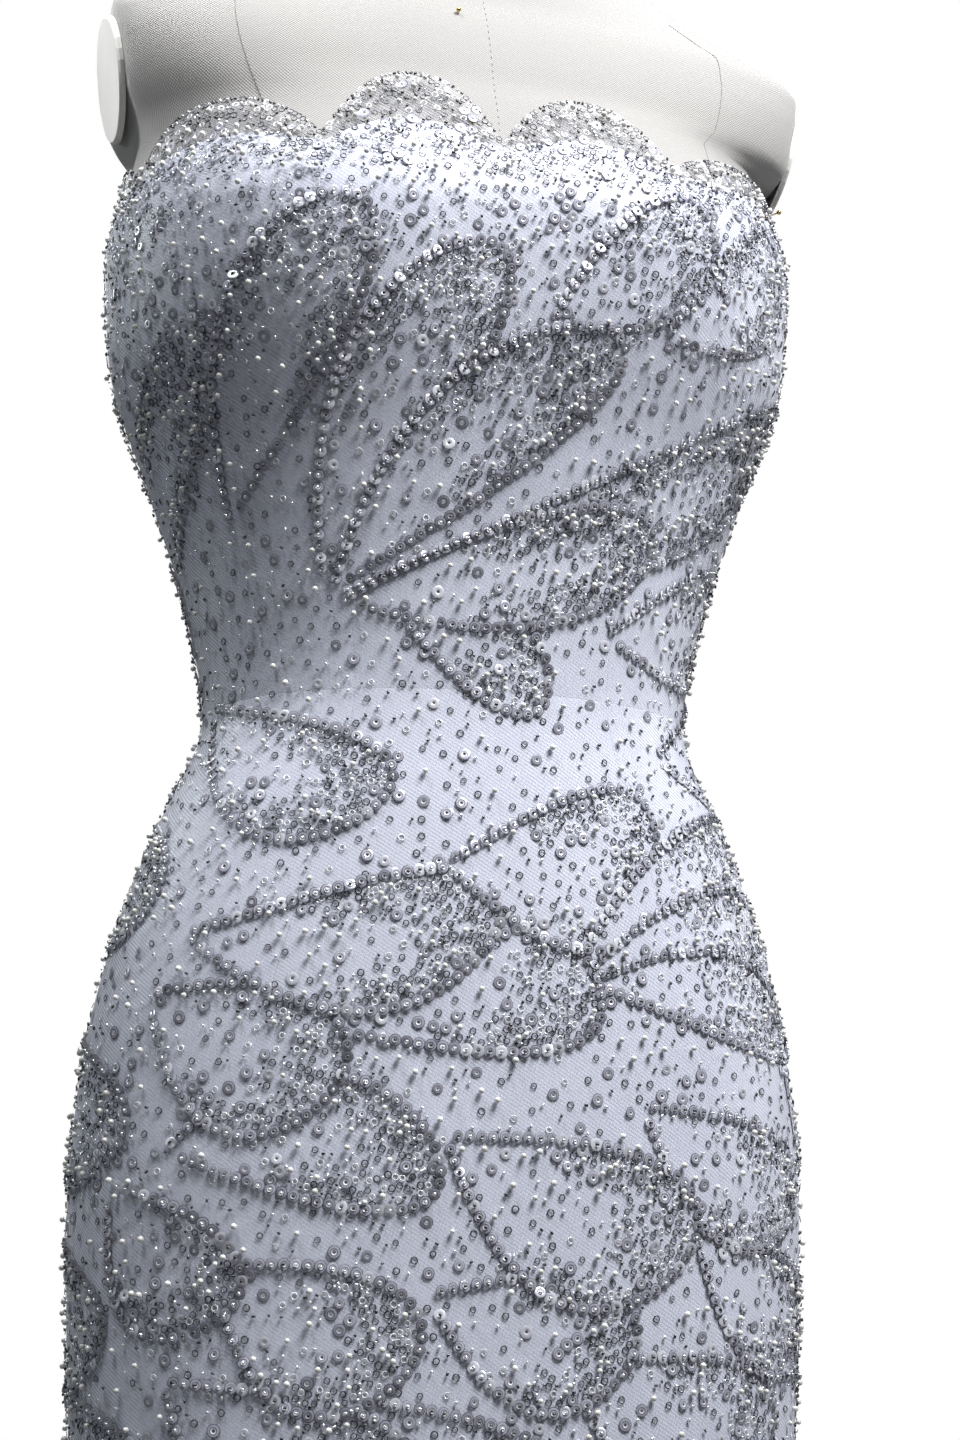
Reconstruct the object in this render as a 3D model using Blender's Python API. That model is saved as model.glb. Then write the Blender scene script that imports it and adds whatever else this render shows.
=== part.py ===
"""A strapless mermaid evening gown on a limbless dress form. Metres, +Z up, the front faces -Y.

The origin is the centre of the stand's underside. "left" and "right" are the wearer's, so left is +X.
Every cloth piece is a thin wall between an outer surface, worked out from the ring table below,
and the same surface moved in by the wall's thickness.
"""

import math
from collections import namedtuple
from functools import lru_cache

import bmesh
import bpy
import numpy as np

# Heights above the floor.
WAIST = 1.060
SATIN_TOP = WAIST + 0.220
KNEE_SEAM = WAIST - 0.520
HEM = 0.012
ZIP_BOTTOM = WAIST - 0.180
FORM_BOTTOM = WAIST - 0.300

# Cloth.
SEAM_GAP = 0.0003
SATIN_WALL = 0.0020
FLOUNCE_WALL = 0.0022
NET_WALL = 0.0012
FORM_CLEARANCE = 0.0016

# The gown's outer surface: half width, and depths before and behind the axis, at heights from the waist.
Ring = namedtuple("Ring", "from_waist half_width front back")
GOWN_RINGS = (
    Ring(0.270, 0.1440, 0.0890, 0.0990),
    Ring(0.235, 0.1455, 0.1030, 0.0990),
    Ring(0.205, 0.1518, 0.1130, 0.0970),
    Ring(0.160, 0.1495, 0.1090, 0.0905),
    Ring(0.100, 0.1298, 0.0960, 0.0800),
    Ring(0.050, 0.1133, 0.0870, 0.0730),
    Ring(0.000, 0.1040, 0.0830, 0.0710),
    Ring(-0.050, 0.1235, 0.0870, 0.0830),
    Ring(-0.100, 0.1406, 0.0910, 0.1030),
    Ring(-0.150, 0.1504, 0.0930, 0.1170),
    Ring(-0.200, 0.1540, 0.0940, 0.1220),
    Ring(-0.260, 0.1522, 0.0940, 0.1200),
    Ring(-0.330, 0.1480, 0.0930, 0.1130),
    Ring(-0.420, 0.1420, 0.0920, 0.1030),
    Ring(-0.520, 0.1330, 0.0900, 0.0960),
    Ring(-0.600, 0.1450, 0.1040, 0.1120),
    Ring(-0.700, 0.1830, 0.1480, 0.1580),
    Ring(-0.800, 0.2330, 0.2030, 0.2150),
    Ring(-0.900, 0.2880, 0.2620, 0.2750),
    Ring(-1.000, 0.3440, 0.3220, 0.3360),
    Ring(-1.048, 0.3700, 0.3500, 0.3640),
)
SQUARENESS = 2.25  # exponent of the rings' superellipse: 2 is an ellipse

# Bust: a soft swell on each side.
BUST_HEIGHT = WAIST + 0.190
BUST_SHARE = 0.215
BUST_SWELL = 0.009
BUST_SPREAD = 0.042

# Flounce folds, their depth growing from the knee seam to the hem.
FOLDS_ON_A_SIDE = 7.5
FOLD_DEPTH_AT_HEM = 0.030

# The dress form above the gown: half width, depths and squareness of each ring.
FormRing = namedtuple("FormRing", "from_waist half_width front back squareness")
SHOULDER_RINGS = (
    FormRing(0.2620, 0.1540, 0.0885, 0.0950, 2.5),
    FormRing(0.2760, 0.1600, 0.0840, 0.0950, 2.6),
    FormRing(0.2900, 0.1630, 0.0785, 0.0930, 2.7),
    FormRing(0.3010, 0.1630, 0.0730, 0.0900, 2.8),
    FormRing(0.3075, 0.1530, 0.0690, 0.0850, 2.7),
    FormRing(0.3160, 0.1380, 0.0655, 0.0790, 2.5),
    FormRing(0.3280, 0.1165, 0.0615, 0.0720, 2.3),
    FormRing(0.3410, 0.0930, 0.0580, 0.0665, 2.2),
    FormRing(0.3540, 0.0710, 0.0545, 0.0610, 2.1),
    FormRing(0.3680, 0.0580, 0.0515, 0.0570, 2.0),
    FormRing(0.3880, 0.0530, 0.0490, 0.0535, 2.0),
    FormRing(0.4250, 0.0520, 0.0480, 0.0520, 2.0),
)
SHOULDER_TILT = 0.045  # the wearer's right shoulder stands higher, by this much for each metre across
LEVEL_AGAIN = (0.301, 0.388)  # heights from the waist between which the tilt dies away
ARM_PLANE_LOW = (0.250, 0.1462)  # height from the waist and |x| on the flat that carries an arm plate
ARM_PLANE_HIGH = (0.315, 0.1574)
ARM_PLATE_CENTRE = 0.279
ARM_PLATE_HALF_HEIGHT = 0.0265
ARM_PLATE_HALF_DEPTH = 0.034
ARM_PLATE_THICKNESS = 0.0030

# Vertical seams, as shares of the way round from centre front (0) to centre back (1).
Seam = namedtuple("Seam", "from_waist front_princess side back_princess")
SEAMS = (
    Seam(0.270, 0.240, 0.500, 0.760),
    Seam(0.190, 0.220, 0.500, 0.770),
    Seam(0.000, 0.185, 0.500, 0.800),
    Seam(-0.200, 0.240, 0.500, 0.770),
    Seam(-0.520, 0.270, 0.510, 0.760),
    Seam(-1.048, 0.270, 0.510, 0.760),
)

# Scallops of the net border on each side of centre front: where each ends, and how far its crest rises.
Scallop = namedtuple("Scallop", "ends_at rise_right rise_left")
SCALLOPS = (
    Scallop(0.185, 0.035, 0.028),
    Scallop(0.420, 0.024, 0.014),
    Scallop(0.640, 0.016, 0.016),
    Scallop(0.830, 0.016, 0.016),
    Scallop(1.000, 0.014, 0.014),
)
VALLEY_HEIGHT = WAIST + 0.226
SCALLOP_ROUNDNESS = 2.4

# Zip at the centre back.
ZIP_SLOT_HALF = 0.0015
CHAIN_HALF_WIDTH = 0.0012
CHAIN_PROUD = 0.0002
ZIP_TOP = SATIN_TOP - 0.002
SLIDER_HALF_WIDTH = 0.0030
SLIDER_LENGTH = 0.0100
SLIDER_THICKNESS = 0.0014
SLIDER_CLEARANCE = 0.0006
HINGE_OUT = 0.0040  # from the gown's back to the pull tab's axis
HINGE_DROP = 0.0030  # below the slider's top
HINGE_PIN_RADIUS = 0.0006
TAB_EYE_INNER = 0.0009
TAB_EYE_OUTER = 0.0017
TAB_EYE_HALF_LENGTH = 0.0014
LUG_INNER = 0.0017
LUG_OUTER = 0.0026
TAB_LENGTH = 0.0240
TAB_HALF_WIDTH = 0.0036
TAB_THICKNESS = 0.0012

# Stand.
BASE_RADIUS = 0.170
BASE_RIM = 0.010
HUB_RADIUS = 0.030
HUB_TOP = 0.036
POLE_RADIUS = 0.0140
COLLAR_RADIUS = 0.034
COLLAR_HEIGHT = 0.022
TURNED_SIDES = 36

# Columns and rows of the grids.
PanelSpan = namedtuple("PanelSpan", "name start end bodice_columns skirt_columns flounce_columns")
HALF_PANELS = (
    PanelSpan("side_front", "front_princess", "side", 7, 7, 17),
    PanelSpan("side_back", "side", "back_princess", 7, 7, 17),
    PanelSpan("centre_back", "back_princess", "centre_back", 5, 5, 15),
)
CENTRE_FRONT_COLUMNS = {"bodice": 10, "skirt": 10, "flounce": 36}
ROWS = {"bodice": 10, "skirt": 13, "flounce": 8}
BORDER_COLUMNS = 50
BORDER_ROWS = 2
FORM_COLUMNS = 36
RING_SAMPLES = 1440
SHARP_ANGLE = 40.0

SATIN = (0.74, 0.76, 0.83)
NET = (0.62, 0.63, 0.68)
JERSEY = (0.74, 0.72, 0.70)
METAL = (0.60, 0.61, 0.63)
PAINT = (0.62, 0.60, 0.57)


def smooth(xs, ys, x):
    """Monotone cubic through the points (xs rising), so a table's curve never overshoots its rows."""
    xs, ys = np.asarray(xs, float), np.asarray(ys, float)
    step = np.diff(xs)
    slope = np.diff(ys) / step
    inner = np.where(
        slope[:-1] * slope[1:] > 0,
        2 * slope[:-1] * slope[1:] / np.where(slope[:-1] + slope[1:] == 0, 1, slope[:-1] + slope[1:]),
        0.0,
    )
    tangent = np.concatenate([slope[:1], inner, slope[-1:]])
    x = np.clip(np.asarray(x, float), xs[0], xs[-1])
    k = np.clip(np.searchsorted(xs, x, side="right") - 1, 0, len(step) - 1)
    t = (x - xs[k]) / step[k]
    return (
        (1 + 2 * t) * (1 - t) ** 2 * ys[k]
        + t * (1 - t) ** 2 * step[k] * tangent[k]
        + t * t * (3 - 2 * t) * ys[k + 1]
        + t * t * (t - 1) * step[k] * tangent[k + 1]
    )


def column(table, field, height):
    """A table's column read at a height above the floor."""
    rows = sorted(table, key=lambda row: row.from_waist)
    heights = [WAIST + row.from_waist for row in rows]
    return float(smooth(heights, [getattr(row, field) for row in rows], height))


def superellipse(half_width, front, back, squareness):
    """Closed outline from centre back round by centre front, evenly spaced along its length."""
    angle = np.linspace(-math.pi, math.pi, RING_SAMPLES + 1)
    across, along = np.sin(angle), np.cos(angle)
    depth = np.where(along > 0, front, back)
    sideways, forwards = np.abs(across / half_width), np.abs(along / depth)
    reach = (sideways**squareness + forwards**squareness) ** (-1 / squareness)
    points = np.stack([reach * across, -reach * along], axis=1)
    return evenly_spaced(points)


def evenly_spaced(points):
    """The same outline with its samples at equal shares of each half, so sample i is at share 2i/n - 1."""
    middle = RING_SAMPLES // 2
    halves = []
    for half in (points[: middle + 1], points[middle:]):
        run = np.concatenate([[0.0], np.cumsum(np.linalg.norm(np.diff(half, axis=0), axis=1))])
        even = np.linspace(0, run[-1], middle + 1)
        halves.append(np.stack([np.interp(even, run, half[:, 0]), np.interp(even, run, half[:, 1])], axis=1))
    return np.concatenate([halves[0][:-1], halves[1]])


SHARES = np.linspace(-1.0, 1.0, RING_SAMPLES + 1)


def outward(points):
    """Unit normals of a closed outline in its plane."""
    step = np.roll(points[:-1], -1, axis=0) - np.roll(points[:-1], 1, axis=0)
    step = np.concatenate([step, step[:1]])
    normal = np.stack([step[:, 1], -step[:, 0]], axis=1)
    return normal / np.linalg.norm(normal, axis=1, keepdims=True)


def fold_wave(shares):
    """Uneven flounce folds round the skirt, from -1 in a hollow to 1 on a crest."""
    turn = math.pi * shares
    uneven = FOLDS_ON_A_SIDE * 2 * turn + 0.9 * np.sin(2 * turn + 0.6) + 0.6 * np.sin(3 * turn + 1.9)
    depth = 0.78 + 0.22 * np.sin(3 * turn + 0.4)
    return depth * np.cos(uneven)


def fold_depth(height):
    return FOLD_DEPTH_AT_HEM * max(0.0, (KNEE_SEAM - height) / (KNEE_SEAM - HEM)) ** 1.25


def bust_swell(shares, height, half_girth):
    aside = (np.abs(shares) - BUST_SHARE) * half_girth
    return BUST_SWELL * np.exp(-(aside**2 + (height - BUST_HEIGHT) ** 2) / (2 * BUST_SPREAD**2))


class Outline:
    """The gown's outline at one height: outer points, outward normals and half its girth."""

    def __init__(self, height):
        sizes = [column(GOWN_RINGS, field, height) for field in ("half_width", "front", "back")]
        base = superellipse(*sizes, SQUARENESS)
        self.half_girth = float(np.linalg.norm(np.diff(base, axis=0), axis=1).sum()) / 2
        lift = bust_swell(SHARES, height, self.half_girth) + fold_depth(height) * fold_wave(SHARES)
        self.points = base + outward(base) * lift[:, None]
        self.normals = outward(self.points)

    def at(self, share, inset=0.0):
        moved = self.points - inset * self.normals
        return np.interp(share, SHARES, moved[:, 0]), np.interp(share, SHARES, moved[:, 1])


@lru_cache(maxsize=None)
def outline_at(height):
    return Outline(height)


def seam_share(name, height):
    return 1.0 if name == "centre_back" else column(SEAMS, name, height)


def principled(name, colour, roughness, metallic=0.0):
    material = bpy.data.materials.new(name)
    material.use_nodes = True
    shader = material.node_tree.nodes["Principled BSDF"]
    shader.inputs["Base Color"].default_value = (*colour, 1.0)
    shader.inputs["Roughness"].default_value = roughness
    shader.inputs["Metallic"].default_value = metallic
    return material


def add_object(name, mesh_maker, colour, roughness, metallic=0.0):
    """Makes a mesh object from a filled bmesh, with its own material, shaded smooth."""
    mesh = bpy.data.meshes.new(name)
    mesh_maker.to_mesh(mesh)
    mesh_maker.free()
    mesh.materials.append(principled(name, colour, roughness, metallic))
    mesh.shade_smooth()
    mesh.set_sharp_from_angle(angle=math.radians(SHARP_ANGLE))
    obj = bpy.data.objects.new(name, mesh)
    bpy.context.scene.collection.objects.link(obj)
    return obj


def wall(outer, inner):
    """Closed wall between two grids of points, indexed [row][column], left being the wearer's."""
    maker = bmesh.new()
    rows, columns = len(outer), len(outer[0])
    out = [[maker.verts.new(p) for p in row] for row in outer]
    back = [[maker.verts.new(p) for p in row] for row in inner]
    for i in range(rows - 1):
        for j in range(columns - 1):
            maker.faces.new((out[i][j], out[i][j + 1], out[i + 1][j + 1], out[i + 1][j]))
            maker.faces.new((back[i][j], back[i + 1][j], back[i + 1][j + 1], back[i][j + 1]))
    for j in range(columns - 1):
        maker.faces.new((out[0][j], back[0][j], back[0][j + 1], out[0][j + 1]))
        maker.faces.new((out[-1][j], out[-1][j + 1], back[-1][j + 1], back[-1][j]))
    for i in range(rows - 1):
        maker.faces.new((out[i][0], out[i + 1][0], back[i + 1][0], back[i][0]))
        maker.faces.new((out[i][-1], back[i][-1], back[i + 1][-1], out[i + 1][-1]))
    return maker


def panel_grids(heights, start, end, columns, thickness, side):
    """Outer and inner grids of a panel between two seams, with side 1 on the left and 0 in front."""
    outer, inner = [], []
    for height in heights:
        outline = outline_at(height)
        gap = SEAM_GAP / 2 / outline.half_girth
        last = seam_share(end, height)
        by_the_zip = end == "centre_back" and height >= ZIP_BOTTOM
        last_gap = ZIP_SLOT_HALF / outline.half_girth if by_the_zip else gap
        if side == 0:
            shares = np.linspace(-(last - gap), last - gap, columns + 1)
        else:
            first = seam_share(start, height) + gap
            shares = np.linspace(first, last - last_gap, columns + 1)
            shares = shares if side > 0 else -shares[::-1]
        outer.append([(*outline.at(share), height) for share in shares])
        inner.append([(*outline.at(share, thickness), height) for share in shares])
    return outer, inner


def tier_heights(tier):
    """Heights of a tier's rows, bottom to top, half a seam gap short of the seams it meets."""
    low, high = {
        "bodice": (WAIST + SEAM_GAP / 2, SATIN_TOP),
        "skirt": (KNEE_SEAM + SEAM_GAP / 2, WAIST - SEAM_GAP / 2),
        "flounce": (HEM, KNEE_SEAM - SEAM_GAP / 2),
    }[tier]
    heights = np.linspace(low, high, ROWS[tier] + 1)
    if tier == "skirt":  # the zip's lower end falls on a row
        heights[np.argmin(np.abs(heights - ZIP_BOTTOM))] = ZIP_BOTTOM
    return heights


def add_tier(tier, thickness):
    heights = tier_heights(tier)
    grids = panel_grids(heights, None, "front_princess", CENTRE_FRONT_COLUMNS[tier], thickness, 0)
    add_object(f"{tier}_centre_front", wall(*grids), SATIN, 0.35)
    for panel in HALF_PANELS:
        for label, side in (("left", 1), ("right", -1)):
            columns = getattr(panel, f"{tier}_columns")
            grids = panel_grids(heights, panel.start, panel.end, columns, thickness, side)
            add_object(f"{tier}_{panel.name}_{label}", wall(*grids), SATIN, 0.35)


def scallop_top(share, side):
    """Height of the border's scalloped edge at a share of the way round."""
    begin = 0.0
    for scallop in SCALLOPS:
        if share <= scallop.ends_at + 1e-9:
            rise = scallop.rise_left if side > 0 else scallop.rise_right
            across = 2 * (share - begin) / (scallop.ends_at - begin) - 1
            return VALLEY_HEIGHT + rise * (1 - abs(across) ** SCALLOP_ROUNDNESS)
        begin = scallop.ends_at
    return VALLEY_HEIGHT


def add_border(label, side):
    """Half of the sheer net border, from the satin's top edge to the scalloped edge."""
    low = SATIN_TOP + SEAM_GAP
    half_girth = outline_at(SATIN_TOP).half_girth
    shares = np.linspace(SEAM_GAP / 2 / half_girth, 1.0 - ZIP_SLOT_HALF / half_girth, BORDER_COLUMNS + 1)
    outer, inner = [], []
    for row in range(BORDER_ROWS + 1):
        heights = [low + (scallop_top(share, side) - low) * row / BORDER_ROWS for share in shares]
        outer.append([(*outline_at(h).at(side * share), h) for h, share in zip(heights, shares)])
        inner.append([(*outline_at(h).at(side * share, NET_WALL), h) for h, share in zip(heights, shares)])
    if side < 0:
        outer, inner = [row[::-1] for row in outer], [row[::-1] for row in inner]
    add_object(f"neck_border_{label}", wall(outer, inner), NET, 0.5)


def loft(rings):
    """Closed body with flat ends through rings of equal count, listed bottom to top."""
    maker = bmesh.new()
    levels = [[maker.verts.new(p) for p in ring] for ring in rings]
    count = len(levels[0])
    for below, above in zip(levels, levels[1:]):
        for j in range(count):
            k = (j + 1) % count
            maker.faces.new((below[j], below[k], above[k], above[j]))
    maker.faces.new(levels[0][::-1])
    maker.faces.new(levels[-1])
    return maker


def arm_plane_x(height):
    """|x| of the flat that carries an arm plate."""
    (low_z, low_x), (high_z, high_x) = ARM_PLANE_LOW, ARM_PLANE_HIGH
    return low_x + (height - WAIST - low_z) * (high_x - low_x) / (high_z - low_z)


def tilted(point):
    """A point of the form's shoulders, moved up or down with their tilt."""
    x, y, z = point
    level, upright = (WAIST + height for height in LEVEL_AGAIN)
    share = min(max((upright - z) / (upright - level), 0.0), 1.0)
    return (x, y, z - x * SHOULDER_TILT * share)


def form_ring(height, sizes=None):
    """One ring of the dress form: inside the gown where the gown is, and of the given sizes above."""
    shares = np.linspace(-1, 1, FORM_COLUMNS + 1)[:-1]
    if sizes is None:
        outline = outline_at(height)
        inset = SATIN_WALL + FORM_CLEARANCE
        return [(*outline.at(share, inset), height) for share in shares]
    points = superellipse(sizes.half_width, sizes.front, sizes.back, sizes.squareness)
    flat = arm_plane_x(height)
    ring = []
    for share in shares:
        x = float(np.interp(share, SHARES, points[:, 0]))
        y = float(np.interp(share, SHARES, points[:, 1]))
        ring.append(tilted((min(max(x, -flat), flat), y, height)))
    return ring


def add_form():
    """The torso. Where the gown covers it, its rings are at the heights of the gown's own rows."""
    by_the_border = [WAIST + 0.238, WAIST + 0.250]
    covered = [FORM_BOTTOM, *tier_heights("skirt"), *tier_heights("bodice")[1:], *by_the_border]
    rings = [form_ring(height) for height in covered if height >= FORM_BOTTOM]
    rings += [form_ring(WAIST + row.from_waist, row) for row in SHOULDER_RINGS]
    add_object("form_torso", loft(rings), JERSEY, 0.85)
    for label, side in (("left", 1), ("right", -1)):
        add_arm_plate(label, side)


def add_arm_plate(label, side):
    """Flat oval plate over an armhole, on the form's slanted flat."""
    (low_z, low_x), (high_z, high_x) = ARM_PLANE_LOW, ARM_PLANE_HIGH
    lean = math.atan2(high_x - low_x, high_z - low_z)
    up = np.array([math.sin(lean), 0.0, math.cos(lean)])
    out = np.array([math.cos(lean), 0.0, -math.sin(lean)])
    centre = np.array([arm_plane_x(WAIST + ARM_PLATE_CENTRE), 0.0, WAIST + ARM_PLATE_CENTRE])
    bevel = ARM_PLATE_THICKNESS / 3
    profile = (
        (SEAM_GAP, 0.0),
        (ARM_PLATE_THICKNESS - bevel, 0.0),
        (ARM_PLATE_THICKNESS, bevel),
    )
    sides = 32
    rings = []
    for lift, shrink in profile:
        ring = []
        for k in range(sides):
            turn = 2 * math.pi * k / sides
            point = centre + lift * out
            point = point + (ARM_PLATE_HALF_HEIGHT - shrink) * math.sin(turn) * up
            point = point + np.array([0.0, (ARM_PLATE_HALF_DEPTH - shrink) * math.cos(turn), 0.0])
            ring.append(tilted((side * point[0], point[1], point[2])))
        rings.append(ring if side > 0 else ring[::-1])
    add_object(f"form_arm_plate_{label}", loft(rings), PAINT, 0.5)


def turned(name, profile, colour, roughness, metallic=0.0):
    """Body turned about the Z axis from (radius, height) points, bottom to top."""
    rings = []
    for radius, height in profile:
        angles = [2 * math.pi * k / TURNED_SIDES for k in range(TURNED_SIDES)]
        rings.append([(radius * math.cos(a), radius * math.sin(a), height) for a in angles])
    return add_object(name, loft(rings), colour, roughness, metallic)


def add_stand():
    neck = WAIST + SHOULDER_RINGS[-1].from_waist + SEAM_GAP
    turned(
        "form_neck_cap",
        [
            (0.046, neck),
            (0.049, neck + 0.003),
            (0.048, neck + 0.009),
            (0.036, neck + 0.016),
            (0.018, neck + 0.020),
        ],
        PAINT,
        0.45,
    )
    top = FORM_BOTTOM - SEAM_GAP
    turned(
        "stand_collar",
        [
            (COLLAR_RADIUS - 0.006, top - COLLAR_HEIGHT),
            (COLLAR_RADIUS, top - COLLAR_HEIGHT + 0.004),
            (COLLAR_RADIUS, top),
        ],
        METAL,
        0.35,
        1.0,
    )
    turned(
        "stand_pole",
        [(POLE_RADIUS, HUB_TOP + SEAM_GAP), (POLE_RADIUS, top - COLLAR_HEIGHT - SEAM_GAP)],
        METAL,
        0.30,
        1.0,
    )
    turned(
        "stand_base",
        [
            (BASE_RADIUS - 0.003, 0.0),
            (BASE_RADIUS, 0.003),
            (BASE_RADIUS, BASE_RIM - 0.003),
            (BASE_RADIUS - 0.004, BASE_RIM),
            (0.060, BASE_RIM + 0.004),
            (HUB_RADIUS, 0.020),
            (HUB_RADIUS - 0.008, HUB_TOP),
        ],
        PAINT,
        0.45,
    )


def back_of_gown(height):
    """y of the gown's outer surface at centre back."""
    return float(outline_at(height).at(1.0)[1])


def add_zip_chain():
    """The closed chain in the slot between the centre-back panels."""
    heights = np.linspace(ZIP_BOTTOM + 0.001, ZIP_TOP, 17)
    rings = []
    for height in heights:
        face = back_of_gown(height) + CHAIN_PROUD
        rings.append(
            [
                (CHAIN_HALF_WIDTH, face - SATIN_WALL, height),
                (CHAIN_HALF_WIDTH, face, height),
                (-CHAIN_HALF_WIDTH, face, height),
                (-CHAIN_HALF_WIDTH, face - SATIN_WALL, height),
            ]
        )
    add_object("zip_chain", loft(rings), METAL, 0.35, 1.0)


def block(name, low, high):
    """A plain box as a bmesh object used to build the slider and the tab."""
    maker = bmesh.new()
    bmesh.ops.create_cube(maker, size=1.0)
    for vert in maker.verts:
        vert.co = [low[k] + (vert.co[k] + 0.5) * (high[k] - low[k]) for k in range(3)]
    return add_object(name, maker, METAL, 0.30, 1.0)


def barrel(name, radius, half_length, sides=16):
    """A cylinder along X, centred on its origin."""
    maker = bmesh.new()
    bmesh.ops.create_cone(
        maker, cap_ends=True, segments=sides, radius1=radius, radius2=radius, depth=2 * half_length
    )
    for vert in maker.verts:
        vert.co = (vert.co.z, vert.co.y, -vert.co.x)
    return add_object(name, maker, METAL, 0.30, 1.0)


def combine(target, other, operation):
    """Boolean with a helper that is then hidden from the render."""
    other.hide_render = True
    other.display_type = "WIRE"
    modifier = target.modifiers.new(other.name, "BOOLEAN")
    modifier.operation = operation
    modifier.solver = "EXACT"
    modifier.object = other


def add_slider(hinge):
    """Slider plate with two lugs and a pin along X for the pull tab."""
    face = back_of_gown(hinge[2]) + SLIDER_CLEARANCE
    top = hinge[2] + HINGE_DROP
    plate = (face, face + SLIDER_THICKNESS)
    slider = block(
        "zip_slider",
        (-SLIDER_HALF_WIDTH, plate[0], top - SLIDER_LENGTH),
        (SLIDER_HALF_WIDTH, plate[1], top),
    )
    for label, side in (("left", 1), ("right", -1)):
        inner, outer = sorted((side * LUG_INNER, side * LUG_OUTER))
        reach = 0.0012
        lug = block(
            f"lug_{label}",
            (inner, plate[1] - 0.0005, hinge[2] - reach),
            (outer, hinge[1] + reach, hinge[2] + reach),
        )
        combine(slider, lug, "UNION")
    pin = barrel("hinge_pin", HINGE_PIN_RADIUS, LUG_OUTER - 0.0003)
    pin.location = hinge
    combine(slider, pin, "UNION")


def add_pull_tab(hinge):
    """Drop-shaped pull tab with an eye round the hinge pin. Its origin is on the joint's axis."""
    profile = (
        (0.0004, 0.36),
        (0.0045, 0.36),
        (0.0130, 0.80),
        (0.0190, 1.00),
        (0.0225, 0.72),
        (TAB_LENGTH, 0.30),
    )
    half = TAB_THICKNESS / 2
    rings = []
    corners = ((-1, -half), (1, -half), (1, half), (-1, half))
    for drop, share in profile[::-1]:
        rings.append([(TAB_HALF_WIDTH * share * aside, depth, -drop) for aside, depth in corners])
    tab = add_object("zip_pull_tab", loft(rings), METAL, 0.30, 1.0)
    eye = barrel("tab_eye", TAB_EYE_OUTER, TAB_EYE_HALF_LENGTH)
    bore = barrel("tab_bore", TAB_EYE_INNER, TAB_EYE_HALF_LENGTH * 3)
    for helper, operation in ((eye, "UNION"), (bore, "DIFFERENCE")):
        helper.location = hinge
        combine(tab, helper, operation)
    tab.location = hinge


def main():
    for obj in list(bpy.data.objects):
        bpy.data.objects.remove(obj, do_unlink=True)
    add_form()
    add_stand()
    add_tier("bodice", SATIN_WALL)
    add_tier("skirt", SATIN_WALL)
    add_tier("flounce", FLOUNCE_WALL)
    for label, side in (("left", 1), ("right", -1)):
        add_border(label, side)
    add_zip_chain()
    hinge_height = ZIP_TOP - HINGE_DROP
    hinge = (0.0, back_of_gown(hinge_height) + HINGE_OUT, hinge_height)
    add_slider(hinge)
    add_pull_tab(hinge)


main()
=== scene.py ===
"""The look of a beaded satin mermaid gown on its dress form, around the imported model.

Metres, +Z up, the front faces -Y, "left" is the wearer's. A place on the cloth is a share of the way
round (0 at centre front, 1 or -1 at centre back) and a height above the floor.
"""

import math
from collections import namedtuple

import bmesh
import bpy
import numpy as np
from mathutils import Matrix, Vector, kdtree


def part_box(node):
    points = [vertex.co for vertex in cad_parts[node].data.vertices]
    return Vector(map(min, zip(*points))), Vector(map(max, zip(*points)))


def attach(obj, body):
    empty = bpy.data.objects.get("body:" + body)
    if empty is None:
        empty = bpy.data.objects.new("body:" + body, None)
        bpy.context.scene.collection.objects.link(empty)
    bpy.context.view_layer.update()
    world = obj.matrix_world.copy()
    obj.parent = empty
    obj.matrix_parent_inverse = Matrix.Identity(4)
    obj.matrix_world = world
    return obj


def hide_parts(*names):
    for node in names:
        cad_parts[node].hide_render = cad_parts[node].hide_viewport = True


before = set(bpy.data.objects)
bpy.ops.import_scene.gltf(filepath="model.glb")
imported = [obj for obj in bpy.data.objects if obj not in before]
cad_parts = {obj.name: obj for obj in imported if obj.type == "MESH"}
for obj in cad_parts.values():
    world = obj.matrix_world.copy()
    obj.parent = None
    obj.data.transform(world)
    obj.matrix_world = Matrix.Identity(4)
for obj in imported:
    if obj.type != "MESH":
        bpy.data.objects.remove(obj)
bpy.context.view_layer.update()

CLOTH_BODY = "gown_and_form"

# ---------------------------------------------------------------- the gown's sizes, as in its solids

WAIST = 1.060
SATIN_TOP = WAIST + 0.220
KNEE_SEAM = WAIST - 0.520
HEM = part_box("flounce_centre_front")[0][2]
ZIP_BOTTOM = WAIST - 0.180
FORM_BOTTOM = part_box("form_torso")[0][2]
SEAM_GAP = 0.0003
SATIN_WALL = 0.0020
FORM_CLEARANCE = 0.0016
ZIP_SLOT_HALF = 0.0015
MAP_TOP = WAIST + 0.268  # just over the highest scallop

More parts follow.
